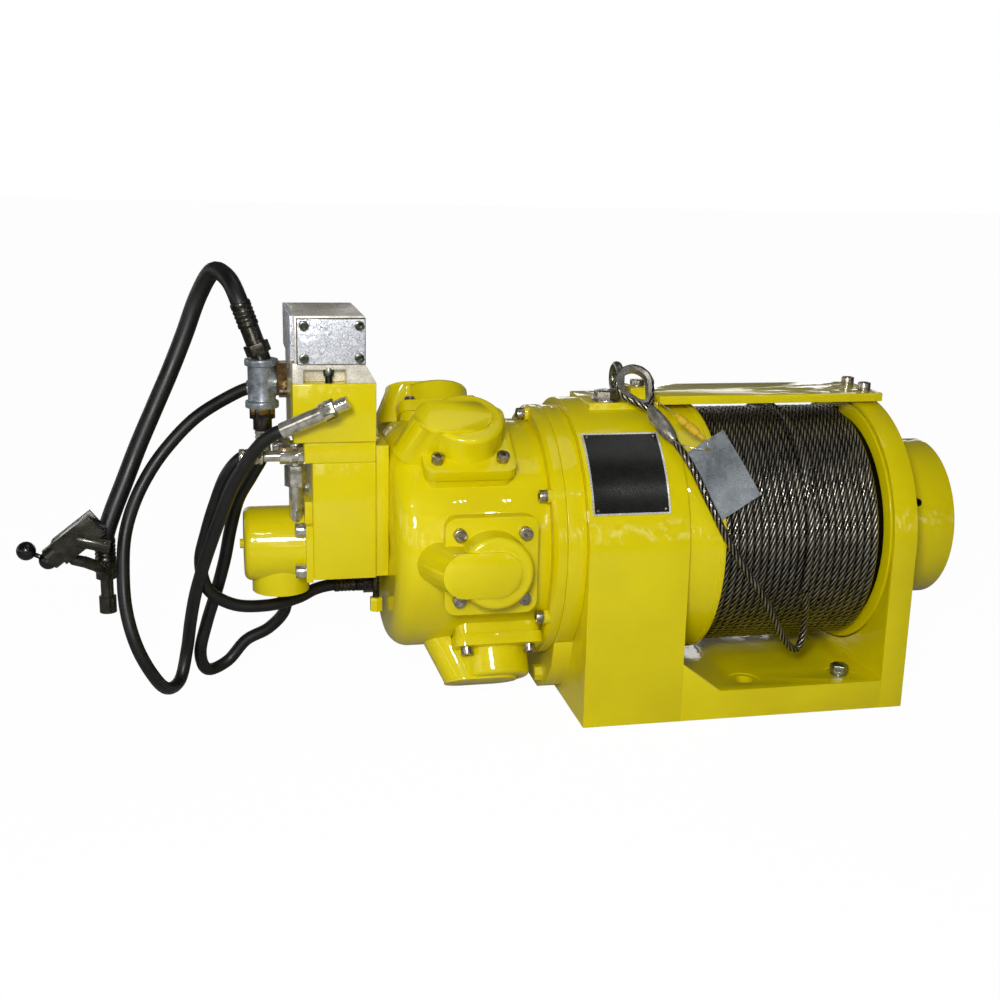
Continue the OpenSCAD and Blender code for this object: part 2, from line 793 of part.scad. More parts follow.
module motor_casing() color("#D8C814") place() difference() {
    union() {
        on_axis() rotate([0, 90, 0]) rotate_extrude($fn = 128) union() {
            translate([0, casing_left + casing_round]) square([casing_radius, casing_length - casing_round]);
            translate([0, casing_left]) square([casing_radius - casing_round, casing_round + over]);
            intersection() {
                translate([casing_radius - casing_round, casing_left + casing_round]) circle(r = casing_round);
                translate([casing_radius - 2 * casing_round, casing_left])
                    square([2 * casing_round, casing_round + over]);
            }
        }
        for (i = [0 : head_count - 1]) at_head(i) pad(pad_root, pad_seat, pad_inset);
    }
    bar(crankcase_left, crankcase_right, crankcase_radius);
    for (i = [0 : head_count - 1]) at_head(i) translate([0, 0, bore_bottom])
        cylinder(h = pad_seat, r = piston_radius + piston_clear);
    bar(casing_left - over, rotary_right, rotary_radius + running);
    bar(rotary_right - over, main_bearing_left + over, journal_radius + 2 * over);
    bar(main_bearing_left, crankcase_left + over, bearing_outer);
    bar(crankcase_right - over, casing_right + over, bearing_outer + over);
}

// a cylinder cover: square seat, round dome, air duct that slopes to the left, raised lid
module head_cover() difference() {
    union() {
        pad(pad_seat, pad_face, 0);
        rotate_extrude() union() {
            translate([0, pad_face - over]) square([head_disc_radius, head_radius - head_round - pad_face + over]);
            square_top = head_radius - head_round;
            translate([0, square_top]) square([head_disc_radius - head_round, head_round]);
            intersection() {
                translate([head_disc_radius - head_round, square_top]) circle(r = head_round, $fn = 32);
                translate([head_disc_radius - head_round, square_top]) square([head_round, head_round]);
            }
        }
        intersection() {
            translate([-duct_nose, 0, head_radius]) rotate([0, duct_slope, 0])
                translate([0, 0, -head_radius]) cylinder(h = 2 * head_radius, r = duct_radius);
            translate([-pad_across, -duct_radius, duct_base])
                cube([2 * pad_across, 2 * duct_radius, head_radius - duct_base]);
        }
        translate([0, duct_radius - duct_side, 0]) rotate([90, 0, 0])
            linear_extrude(2 * (duct_radius - duct_side)) polygon([[0, pad_seat],
            [0, head_radius], [-duct_nose, head_radius],
            [-duct_nose - (head_radius - duct_base) * tan(duct_slope), duct_base], [-pad_length / 2, duct_base],
            [-pad_length / 2, pad_seat]]);
        for (x = [-lid_left, lid_right]) translate([x, 0, head_radius - over])
            cylinder(h = lid_height + over, r = lid_radius);
        translate([-lid_left, -lid_radius, head_radius - over])
            cube([lid_left + lid_right, 2 * lid_radius, lid_height + over]);
    }
    translate([0, 0, pad_seat - over]) cylinder(h = bore_top - pad_seat + over, r = piston_radius + piston_clear);
    translate([-pad_length / 2, -pad_across, 0]) cube([2 * pad_length, 2 * pad_across, pad_seat]);
}

module cylinder_covers() color("#D8C814") place() difference() {
    for (i = [0 : head_count - 1]) at_head(i) head_cover();
    bar(2 * casing_left, 0, casing_radius);
    bar(2 * casing_left, casing_left + 2 * over, 2 * casing_radius);
}

module cover_screws() color("#B9BBBD") place() for (i = [0 : head_count - 1]) at_head(i)
    for (sx = [-1, 1], sy = [-1, 1]) translate([sx * screw_along, sy * screw_across, pad_face]) cap_screw();

module drain_plugs() color("#D8C814") place() {
    on_axis() rotate([180, 0, 0]) translate([heads_middle, 0, casing_radius]) union() {
        cylinder(h = drain_height, r = drain_radius, $fn = 6);
    }
    hex_x(-sump_depth - drain_height, -sump_depth, -sump_plug_y, sump_plug_height, drain_radius);
}

module pistons() color("#A8AAAC") place() for (i = [0 : head_count - 1]) at_head(i) {
    r = pin_place(i);
    translate([0, 0, r]) difference() {
        translate([0, 0, -piston_skirt]) cylinder(h = piston_skirt + piston_crown, r = piston_radius);
        translate([0, 0, -piston_skirt - over])
            cylinder(h = piston_skirt + pin_radius + 2 * piston_wall + over, r = piston_radius - piston_wall);
        rotate([0, 90, 0]) cylinder(h = 2 * pad_length, r = pin_radius + running, center = true);
    }
}

// place of a wrist pin along its bore, with the crankpin where it stands
function pin_place(i) = let (a = crankpin_angle - head_angles[i], s = crank_throw * sin(a))
    crank_throw * cos(a) + sqrt(rod_length * rod_length - s * s);
function rod_tilt(i) = asin(-crank_throw * sin(crankpin_angle - head_angles[i]) / rod_length);

module wrist_pins() color("#7C7E80") place() for (i = [0 : head_count - 1]) at_head(i)
    translate([0, 0, pin_place(i)]) rotate([0, 90, 0])
        cylinder(h = 2 * (piston_radius - piston_wall / 2), r = pin_radius, center = true);

module con_rods() color("#8C8E90") place() for (i = [0 : head_count - 1]) at_head(i)
    translate([0, 0, pin_place(i)]) rotate([rod_tilt(i), 0, 0]) difference() {
        union() {
            translate([-rod_width / 2, -rod_half, -rod_length]) cube([rod_width, 2 * rod_half, rod_length]);
            for (z = [0, -rod_length]) translate([-rod_width / 2, 0, z]) rotate([0, 90, 0])
                cylinder(h = rod_width, r = z < 0 ? rod_eye : pin_radius + piston_wall);
        }
        translate([-rod_width, 0, 0]) rotate([0, 90, 0]) cylinder(h = 2 * rod_width, r = pin_radius + running);
        translate([-rod_width, 0, -rod_length]) rotate([0, 90, 0])
            cylinder(h = 2 * rod_width, r = crankpin_radius + running);
    }

pin_left = head_x(head_count - 1) - rod_width / 2 - over;
pin_right = head_x(2) + rod_width / 2 + over;

module crankpin() color("#9A9C9E") place() on_axis() rotate([crankpin_angle, 0, 0])
    translate([pin_left, 0, crank_throw]) rotate([0, 90, 0]) cylinder(h = pin_right - pin_left, r = crankpin_radius);

shaft_bearing_left = ring_left + 4;
shaft_bearing_width = 14;

module crankshaft() color("#9A9C9E") place() {
    bar(pin_right + touch, crankcase_right - touch, web_radius);
    bar(pin_right + touch, gear_left - gear_side, journal_radius);
    bar(pin_right + touch, gear_right, sun_seat_radius);
    bar(crankcase_left + touch, pin_left - touch, web_radius);
    bar(rotary_left, pin_left - touch, journal_radius);
}

module rotary_valve() color("#B08A4A") place() difference() {
    bar(rotary_left, rotary_right - touch, rotary_radius);
    bar(2 * rotary_left, 0, journal_radius + running);
}

module crank_bearings() color("#9A9C9E") place() {
    difference() {
        bar(main_bearing_left, main_bearing_left + main_bearing_width, bearing_outer);
        bar(2 * main_bearing_left, 0, journal_radius + running);
    }
    difference() {
        bar(shaft_bearing_left, shaft_bearing_left + shaft_bearing_width, bearing_outer);
        bar(2 * shaft_bearing_left, over, journal_radius + running);
    }
}

module housing_ring() color("#D8C814") place() difference() {
    bar(ring_left, 0, ring_radius, $fn = 128);
    bar(shaft_bearing_left, over, bearing_outer);
    bar(ring_left - over, over, journal_radius + over);
}

module motor_flange() color("#D8C814") place() difference() {
    union() {
        on_axis() rotate([0, 90, 0]) rotate_extrude($fn = 128) polygon([[0, casing_right],
            [ring_radius - flange_chamfer, casing_right], [ring_radius, casing_right + flange_chamfer],
            [ring_radius, ring_left - over], [ring_radius - over, ring_left], [0, ring_left]]);
        ring_spots() rotate([0, 90, 0]) cylinder(h = ring_left - flange_boss_left, r = boss_radius);
    }
    bar(casing_left, casing_right, casing_radius);
    bar(casing_right - over, ring_left + over, journal_radius + over);
}

module ring_spots() on_axis() for (i = [0 : head_count - 1]) rotate([i * 360 / head_count, 0, 0])
    translate([flange_boss_left, 0, ring_screw_circle]) children();

module ring_screws() color("#B9BBBD") place() ring_spots() rotate([0, -90, 0]) cap_screw();

// Valve end

module valve_flange() color("#D8C814") place()
    block(valve_flange_left, casing_left, -valve_flange_half, valve_flange_half, valve_flange_bottom,
        valve_flange_top);

module lower_block() color("#D8C814") place()
    block(lower_left, lower_right, -lower_block_width / 2, lower_block_width / 2, lower_bottom, mid_bottom);

module middle_block() color("#D8C814") place() {
    block(lower_left, lower_right, -lower_block_width / 2, lower_block_width / 2, mid_bottom, upper_bottom);
    block(middle_left, lower_left, -lower_block_width / 2, 0, mid_bottom, upper_bottom);
}

module upper_block() color("#D8C814") place()
    block(upper_left, lower_right, -upper_block_width / 2, upper_block_width / 2, upper_bottom, upper_top);

module valve_foot() color("#C9CBCD") place() difference() {
    translate([0, upper_block_width / 2, 0]) rotate([90, 0, 0]) linear_extrude(upper_block_width)
        polygon([[foot_left, upper_top], [valve_flange_left, upper_top], [valve_flange_left - foot_slope, foot_top],
            [foot_left, foot_top]]);
    for (side = [-1, 1]) block(valve_notch_left, valve_notch_right,
        side * upper_block_width / 2 - valve_notch_depth, side * upper_block_width / 2 + valve_notch_depth,
        upper_top - over, upper_top + valve_notch_height);
}

module valve_screws() color("#3A3C3A") place() for (side = [-1, 1])
    translate([(valve_notch_left + valve_notch_right) / 2, side * (upper_block_width - valve_notch_depth) / 2,
        upper_top]) cap_screw();

module valve_body() color("#C4C6C8") place() difference() {
    block(valve_left, valve_right, -valve_half, valve_half, foot_top, valve_top);
    translate([(valve_left + valve_right) / 2, 0, (foot_top + valve_top) / 2]) rotate([90, 0, 0])
        cylinder(h = 2 * valve_room_half, r = spool_radius + running, center = true);
}

module spool() color("#9A9C9E") place()
    translate([(valve_left + valve_right) / 2, 0, (foot_top + valve_top) / 2]) rotate([90, 0, 0]) {
        cylinder(h = 2 * spool_half, r = spool_radius * spool_neck_share, center = true);
        for (z = [-spool_half, -spool_land / 2, spool_half - spool_land]) translate([0, 0, z])
            cylinder(h = spool_land, r = spool_radius);
    }

module valve_covers() color("#CFD1D3") place() {
    for (side = [-1, 1]) translate([0, side * (valve_half + valve_plate / 2), 0])
        block(valve_left + valve_plate_inset, valve_right, -valve_plate / 2, valve_plate / 2, foot_top,
            valve_top - valve_plate_inset);
    block(valve_left - valve_plate, valve_left, -valve_half, valve_half, foot_top + valve_plate_inset, valve_top);
}

module valve_cover_screws() color("#3A3C3A") place() for (side = [-1, 1])
    for (x = [valve_left + valve_plate_inset + valve_screw_inset, valve_right - valve_screw_inset],
        z = [foot_top + valve_screw_inset, valve_top - valve_plate_inset - valve_screw_inset])
            translate([x, side * (valve_half + valve_plate), z]) rotate([-90 * side, 0, 0]) cap_screw(small_cap_share);

module pilot_unit() color("#D8C814") place() {
    block(pilot_right, lower_left, -pilot_flange_half_width, pilot_flange_half_width,
        pilot_height - pilot_flange_half_height, pilot_height + pilot_flange_half_height);
    block(pilot_right, lower_left, -pilot_neck_half_width, pilot_neck_half_width, pilot_height, pilot_neck_top);
    translate([0, 0, pilot_height]) rotate([0, 90, 0]) rotate_extrude() union() {
        translate([0, pilot_left + pilot_round]) square([pilot_radius, pilot_right - pilot_left - pilot_round]);
        translate([0, pilot_left]) square([pilot_radius - pilot_round, pilot_round + over]);
        intersection() {
            translate([pilot_radius - pilot_round, pilot_left + pilot_round]) circle(r = pilot_round, $fn = 32);
            translate([pilot_radius - pilot_round, pilot_left]) square([pilot_round, pilot_round]);
        }
    }
    rod_x(pilot_left - nub_length, pilot_left + nub_length, 0, pilot_height, nub_radius);
    translate([pilot_boss_x, 0, pilot_boss_bottom])
        cylinder(h = pilot_height - pilot_boss_bottom, r = pilot_boss_radius);
}

module pilot_screws() color("#B9BBBD") place() for (sy = [-1, 1], sz = [-1, 1])
    translate([pilot_right, sy * pilot_screw_across, pilot_height + sz * pilot_screw_up]) rotate([0, -90, 0])
        cap_screw();

// Fittings

module tee() color("#8E9396") place() translate([tee_x, tee_y, tee_height]) {
    cylinder(h = 2 * tee_half, r = tee_radius, center = true);
    for (z = [-tee_half, tee_half - tee_collar]) translate([0, 0, z]) cylinder(h = tee_collar, r = tee_collar_radius);
    rotate([0, 90, 0]) cylinder(h = tee_branch, r = tee_radius - over);
}

module tee_nut() color("#C8B070") place() hex_x(tee_x + tee_branch, upper_left, tee_y, tee_height, nut_radius);

module main_swivel() color("#4A4840") place() translate([tee_x, tee_y, tee_height + tee_half]) intersection() {
    rotate([0, -swivel_lean, 0]) translate([0, 0, -swivel_length / 2]) {
        cylinder(h = 1.5 * swivel_length, r = swivel_radius);
        translate([0, 0, swivel_length / 2 + swivel_nut_height / 2])
            cylinder(h = swivel_nut_height, r = swivel_nut_radius, $fn = 6);
    }
    translate([-tee_half * 2, -tee_half, 0]) cube([4 * tee_half, 2 * tee_half, 4 * tee_half]);
}

module lower_swivel() color("#4A4840") place() translate([tee_x, tee_y, tee_height - tee_half - lower_swivel_length]) {
    cylinder(h = lower_swivel_length, r = swivel_radius);
    translate([0, 0, lower_swivel_length / 2]) cylinder(h = swivel_nut_height, r = swivel_nut_radius, $fn = 6);
}

module chrome_fitting(x0, x1, y, z) {
    rod_x(x0, x1, y, z, fitting_radius);
    hex_x(fitting_nut_place - fitting_nut_length / 2, fitting_nut_place + fitting_nut_length / 2, y, z,
        fitting_nut_radius);
    hex_x(fitting_collar_place - fitting_nut_length / 4, fitting_collar_place + fitting_nut_length / 4, y, z,
        fitting_nut_radius);
}

module upper_fitting() color("#C9C4A8") place()
    chrome_fitting(upper_fitting_left, middle_left, upper_fitting_y, upper_fitting_height);

module lower_fitting() color("#C9C4A8") place()
    chrome_fitting(fitting_left, middle_left, lower_fitting_y, lower_fitting_height);

module pilot_stem() color("#B9BDC2") place() translate([stem_x, stem_y, 0]) difference() {
    union() {
        translate([0, 0, pilot_height]) cylinder(h = stem_top - pilot_height, r = stem_radius);
        translate([0, 0, stem_nut_bottom]) cylinder(h = stem_nut_height, r = stem_nut_radius, $fn = 6);
    }
    translate([-stem_x, -stem_y, pilot_height]) rotate([0, -90, 0])
        cylinder(h = 2 * -pilot_left, r = pilot_radius);
}

module side_port() color("#4A4840") place() {
    rod_x(port_x - port_length, port_x, port_y, port_height, port_radius);
    hex_x(port_x - port_length / 2, port_x, port_y, port_height, port_nut_radius);
}

module drop_port() color("#4A4840") place()
    translate([drop_x, drop_y, drop_height - port_radius])
        cylinder(h = pilot_height - drop_height, r = port_radius);

module elbow_port() color("#4A4840") place() {
    rod_x(elbow_right, casing_left, elbow_y, elbow_height, port_radius);
    hex_x(elbow_right + port_radius, casing_left, elbow_y, elbow_height, port_nut_radius);
}

module crimped_end() color("#B9BDC2") place() {
    last = len(long_hose_route) - 1;
    start = long_hose_route[last];
    way = unit(start - long_hose_route[last - 1]);
    lean = acos(way[2]);
    spin = atan2(way[1], way[0]);
    translate(start + running * way) rotate([0, lean, spin]) {
        cylinder(h = crimp_length, r = crimp_radius);
        translate([0, 0, crimp_length]) cylinder(h = crimp_nut_length, r = crimp_nut_radius, $fn = 6);
        translate([0, 0, crimp_length + crimp_nut_length])
            cylinder(h = crimp_tip_length, r = crimp_tip_radius);
    }
}

// Hoses and rope end

module main_hose() color("#1D1D1D") place() tube(main_hose_route, main_hose_diameter / 2, 8);
module long_hose() color("#1D1D1D") place() tube(long_hose_route, thin_hose_diameter / 2, 8);
module return_hose() color("#1D1D1D") place() tube(return_hose_route, thin_hose_diameter / 2, 8);
module pilot_hose() color("#1D1D1D") place() tube(pilot_hose_route, thin_hose_diameter / 2, 8);
module rope_tail() color("#5A5650") place() tube(rope_tail_route, rope_radius, 8, [1, 0, 0]);

// Hand valve

module hand_frame() translate([hand_x, hand_y, hand_height]) rotate([0, -hand_turn, 0]) children();

module hand_valve() color("#4E4E40") place() {
    hand_frame() {
        translate([-hand_width / 2, -hand_depth / 2, -hand_drop / 2]) cube([hand_width, hand_depth, hand_drop]);
        translate([-hand_width / 2 - hand_nose_length, 0, 0]) rotate([0, 90, 0]) difference() {
            cylinder(h = hand_nose_length, r = hand_nose_radius);
            translate([0, 0, -over]) cylinder(h = hand_nose_length, r = hand_nose_radius - hand_nose_wall);
        }
    }
    translate([hand_x, hand_y - hand_depth / 2, hand_height]) rotate([0, hand_round_turn, 0])
        rod_x(0, hand_round_length, hand_round_inset, 0, hand_round_radius);
    tube(grip_route, grip_radius, 12);
    translate([end_fitting_x, end_fitting_y, end_fitting_top - end_fitting_height])
        cylinder(h = end_fitting_height, r = end_fitting_radius);
    translate([end_fitting_x, end_fitting_y, end_fitting_bottom]) {
        cylinder(h = end_fitting_top - end_fitting_bottom, r = end_pipe_radius);
        cylinder(h = end_collar_height, r = end_collar_radius);
    }
}

module hand_lever() color("#151515") place() hand_frame()
    translate([-hand_width / 2 - hand_nose_length - lever_out, 0, 0]) {
        sphere(r = hand_nose_radius - hand_nose_wall - touch, $fn = 32);
        rotate([90, 0, 0]) cylinder(h = 2 * lever_pin_half, r = lever_pin_radius, center = true);
        rotate([0, -90 + lever_turn, 0]) {
            cylinder(h = lever_length, r = lever_radius);
            translate([0, 0, lever_length]) sphere(r = knob_radius, $fn = 32);
        }
    }

// Small pieces on the housing

module oil_plug() color("#B9BBBD") place() translate([oil_x, oil_y, pad_top])
    cylinder(h = oil_height, r = oil_radius, $fn = 6);

module eye_bolt() color("#4A4A44") place() translate([eye_x, 0, pad_top]) {
    cylinder(h = eye_collar_height, r = eye_collar_radius);
    translate([0, 0, eye_collar_height + eye_ring_radius]) rotate([0, 90, 0])
        rotate_extrude() translate([eye_ring_radius, 0]) circle(r = eye_wire_radius, $fn = 24);
}

module raised_bolt() color("#B9BBBD") place()
    translate([(raised_left + beam_left) / 2, 0, pad_top + raised_height])
        cylinder(h = raised_bolt_height, r = raised_bolt_radius, $fn = 6);

module nameplate() color("#20201E") place() difference() {
    bar(name_left, name_left + name_length, arch_radius + name_thickness, $fn = 128);
    bar(name_left - over, name_left + name_length + over, arch_radius + running, $fn = 128);
    on_axis() translate([name_left - over, -arch_radius, name_drop + name_height])
        cube([name_length + 2 * over, 2 * arch_radius, arch_radius]);
    block(name_left - over, name_left + name_length + over, -arch_radius - 2 * name_thickness,
        arch_radius + 2 * name_thickness, axis_height - 2 * arch_radius, axis_height + name_drop);
    block(name_left - over, name_left + name_length + over, 0, 2 * arch_radius, 0, 2 * axis_height);
}

// rope eye with its thimble, leaning on the housing
module loop_frame() translate([loop_x, loop_y, loop_height]) rotate([loop_lean, 0, 0]) children();

function ferrule_start() = rope_tail_route[len(rope_tail_route) - 1];
function loop_point(a) = [loop_x, loop_y, loop_height]
    + loop_radius * [cos(a), -sin(a) * sin(loop_lean), sin(a) * cos(loop_lean)];
function ferrule_way() = unit(loop_point(ferrule_turn) - ferrule_start());
function ferrule_end() = ferrule_start() + ferrule_length * ferrule_way();

module rope_eye() color("#5A5650") place() {
    loop_frame() rotate([90, 0, 0]) rotate_extrude() translate([loop_radius, 0]) circle(r = rope_radius, $fn = 24);
    for (side = [-1, 1]) tube([loop_point(ferrule_turn + side * loop_throat),
        ferrule_end() + throat_length * ferrule_way(), ferrule_end() + touch * ferrule_way()], rope_radius, 8);
}

module thimble() color("#8E9196") place() {
    loop_frame() rotate([90, 0, 0]) rotate_extrude() difference() {
        translate([loop_radius - groove_radius - rope_radius, -rope_radius])
            square([groove_radius + rope_radius, rope_diameter]);
        translate([loop_radius, 0]) circle(r = rope_radius, $fn = 24);
    }
    translate(ferrule_start()) rotate([0, acos(ferrule_way()[2]), atan2(ferrule_way()[1], ferrule_way()[0])])
        cylinder(h = ferrule_length, r = ferrule_radius);
}

module tag() color("#A9B4BE") place() {
    translate([tag_x, tag_y, tag_height]) rotate([tag_lean, 0, 0]) rotate([0, tag_turn, 0]) difference() {
        cube([tag_width, tag_thickness, tag_tall], center = true);
        translate([0, 0, tag_hole]) rotate([90, 0, 0]) cylinder(h = tag_width, r = tag_hole_radius, center = true);
    }
    tube(tag_wire_route, tag_wire_radius, 8);
}

module frame_bolts() {
    tie_beam_screws();
    cover_screw();
    raised_bolt();
}

module oil_plugs() {
    oil_plug();
    drain_plugs();
}

module bearings() {
    drum_bearings();
    end_bearing();
    crank_bearings();
}

module pins() {
    crankpin();
    wrist_pins();
}

module motor_screws() {
    cover_screws();
    ring_screws();
}

module small_screws() {
    valve_screws();
    valve_cover_screws();
    pilot_screws();
}

module swivels() {
    main_swivel();
    lower_swivel();
}

module plated_fittings() {
    upper_fitting();
    lower_fitting();
    pilot_stem();
    tee_nut();
}

module dark_fittings() {
    side_port();
    drop_port();
    elbow_port();
}

base_plate();
gear_housing();
end_plate();
tie_beam();
bearing_cover();
frame_bolts();
oil_plugs();
eye_bolt();
nameplate();
drum();
bearings();
rope_core();
rope_winding();
rope_tail();
rope_eye();
thimble();
tag();
ring_gear();
sun_gear();
planet_a();
planet_b();
planet_c();
carrier();
planet_cage();
brake_discs();
brake_plates();
brake_piston();
brake_springs();
housing_ring();
motor_flange();
motor_casing();
cylinder_covers();
motor_screws();
pistons();
con_rods();
pins();
crankshaft();
rotary_valve();
valve_flange();
lower_block();
middle_block();
upper_block();
valve_foot();
valve_body();
spool();
valve_covers();
small_screws();
pilot_unit();
tee();
swivels();
plated_fittings();
dark_fittings();
crimped_end();
main_hose();
long_hose();
return_hose();
pilot_hose();
hand_valve();
hand_lever();
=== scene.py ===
import json
import math

import bmesh
import bpy
from mathutils import Matrix, Vector


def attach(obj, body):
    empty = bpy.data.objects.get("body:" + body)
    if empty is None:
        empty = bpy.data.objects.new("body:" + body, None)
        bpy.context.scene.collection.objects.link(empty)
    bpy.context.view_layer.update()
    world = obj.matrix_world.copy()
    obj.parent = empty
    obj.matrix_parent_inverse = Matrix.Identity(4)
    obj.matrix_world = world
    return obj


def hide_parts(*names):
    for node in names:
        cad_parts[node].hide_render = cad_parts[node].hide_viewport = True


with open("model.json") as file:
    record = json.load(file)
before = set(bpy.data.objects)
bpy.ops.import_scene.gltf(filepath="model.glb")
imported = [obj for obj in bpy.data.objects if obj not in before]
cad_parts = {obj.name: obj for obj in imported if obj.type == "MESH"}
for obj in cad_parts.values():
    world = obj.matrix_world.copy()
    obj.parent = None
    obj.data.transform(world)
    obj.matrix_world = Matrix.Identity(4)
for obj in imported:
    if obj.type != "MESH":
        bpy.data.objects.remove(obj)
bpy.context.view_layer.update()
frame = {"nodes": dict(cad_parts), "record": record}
print("frame loaded:", len(frame["nodes"]), "nodes")

mm = 0.001
patternX = 242.5  # the foot's left end to the middle of its holes
axisHeight = 176.6
fullTurn = 2 * math.pi


def spot(x, y, z):
    # millimetres from the foot's left end to metres in the shared frame
    return Vector(((x - patternX) * mm, y * mm, z * mm))


# Camera

cameraPlace = {"x": -361.0, "y": -1352.7, "z": 557.8, "yaw": 12.48, "pitch": 14.11, "roll": 1.30,
    "lens": 47.16}


def makeCamera(c):
    yaw, pitch, roll = (math.radians(c[k]) for k in ("yaw", "pitch", "roll"))
    ahead = Vector((math.sin(yaw) * math.cos(pitch), math.cos(yaw) * math.cos(pitch), -math.sin(pitch)))
    level = Vector((math.cos(yaw), -math.sin(yaw), 0))
    over = level.cross(ahead)
    right = math.cos(roll) * level + math.sin(roll) * over
    up = math.cos(roll) * over - math.sin(roll) * level
    data = bpy.data.cameras.new("camera")
    data.lens = c["lens"]
    data.sensor_width = 36
    data.clip_end = 50
    camera = bpy.data.objects.new("camera", data)
    bpy.context.scene.collection.objects.link(camera)
    turn = Matrix((right, up, -ahead)).transposed().to_4x4()
    camera.matrix_world = Matrix.Translation(spot(c["x"], c["y"], c["z"])) @ turn
    bpy.context.scene.camera = camera


makeCamera(cameraPlace)


# Material helpers

def shade(hexCode):
    # an sRGB hex value as linear colour
    parts = [int(hexCode[i:i + 2], 16) / 255 for i in (1, 3, 5)]
    return tuple(p / 12.92 if p <= 0.04045 else ((p + 0.055) / 1.055) ** 2.4 for p in parts) + (1,)


def addNode(tree, kind, inputs=None, **settings):
    # adds a node: each input gets a value or the output that feeds it, and settings are its properties
    node = tree.nodes.new("ShaderNode" + kind)
    for key, value in settings.items():
        if key == "stops":
            for stop, (position, colour) in zip(node.color_ramp.elements, value):
                stop.position = position
                stop.color = colour
        else:
            setattr(node, key, value)
    for socket, value in (inputs or {}).items():
        if isinstance(value, bpy.types.NodeSocket):
            tree.links.new(value, node.inputs[socket])
        else:
            node.inputs[socket].default_value = value
    return node


def startMaterial(name, **settings):
    # a new material, its node tree, the shader and the place in the object's own space
    material = bpy.data.materials.new(name)
    material.use_nodes = True
    tree = material.node_tree
    shader = tree.nodes["Principled BSDF"]
    for key, value in settings.items():
        shader.inputs[key.replace("_", " ")].default_value = value
    return material, tree, shader, addNode(tree, "TexCoord").outputs["Object"]


def perMetre(sizeInMm):
    # the scale of a noise whose features are about that size
    return 1 / (sizeInMm * mm)


def grey(v):
    return (v, v, v, 1)


def dress(tree, shader, colour, rough, bump, between=(0.3, 0.7)):
    # colour: texture, dark and light; rough: texture, least and most; bump: texture, strength and millimetres
    (tone, dark, light), (wear, least, most), (relief, strength, depth) = colour, rough, bump
    tint = addNode(tree, "ValToRGB", {"Fac": tone}, stops=zip(between, (shade(dark), shade(light))))
    polish = addNode(tree, "ValToRGB", {"Fac": wear}, stops=zip((0.3, 0.7), (grey(least), grey(most))))
    grain = addNode(tree, "Bump", {"Height": relief, "Strength": strength, "Distance": depth * mm})
    tree.links.new(tint.outputs["Color"], shader.inputs["Base Color"])
    tree.links.new(polish.outputs["Color"], shader.inputs["Roughness"])
    tree.links.new(grain.outputs["Normal"], shader.inputs["Normal"])
    return grain.outputs["Normal"]


def mottled(name, dark, light, metallic, rough, patchMm, grainMm, bumpMm, coat=0.0):
    # colour patches, a roughness that follows a finer grain, and a bump of the same grain
    material, tree, shader, place = startMaterial(name, Metallic=metallic, Coat_Weight=coat,
        Coat_Roughness=0.05)
    patchScale, grainScale = perMetre(patchMm), perMetre(grainMm)
    patches = addNode(tree, "TexNoise", {"Vector": place, "Scale": patchScale, "Detail": 4.0}).outputs[0]
    grain = addNode(tree, "TexNoise", {"Vector": place, "Scale": grainScale, "Detail": 3.0}).outputs[0]
    dress(tree, shader, (patches, dark, light), (grain, *rough), (grain, 0.4, bumpMm))
    return material


def machinedSteel():
    # turned and ground steel: fine bright lines along the shaft
    lineMm, lengthShare = 0.6, 0.03
    material, tree, shader, place = startMaterial("machinedSteel", Metallic=1.0)
    stretch = (perMetre(lineMm) * lengthShare, perMetre(lineMm), perMetre(lineMm))
    drawn = addNode(tree, "Mapping", {"Vector": place, "Scale": stretch}).outputs[0]
    lines = addNode(tree, "TexNoise", {"Vector": drawn, "Scale": 1.0, "Detail": 2.0}).outputs[0]
    dress(tree, shader, (lines, "#85888A", "#B4B6B8"), (lines, 0.24, 0.38), (lines, 0.3, 0.04))
    return material


def enamelPaint():
    # sprayed gloss enamel: wet gloss over a saturated yellow, with orange peel and a slow drift of colour
    material, tree, shader, place = startMaterial("glossEnamel", Coat_Weight=0.75, Coat_Roughness=0.03,
        Specular_IOR_Level=0.1)
    drift = addNode(tree, "TexNoise", {"Vector": place, "Scale": perMetre(90), "Detail": 3.0}).outputs[0]
    peel = addNode(tree, "TexNoise", {"Vector": place, "Scale": perMetre(6), "Detail": 1.5}).outputs[0]
    ripple = addNode(tree, "TexNoise", {"Vector": place, "Scale": perMetre(26), "Detail": 1.0}).outputs[0]
    both = addNode(tree, "Math", {0: peel, 1: ripple}, operation="ADD").outputs[0]
    normal = dress(tree, shader, (drift, "#D2C100", "#DECE01"), (drift, 0.3, 0.42), (both, 0.5, 0.22))
    tree.links.new(normal, shader.inputs["Coat Normal"])
    return material


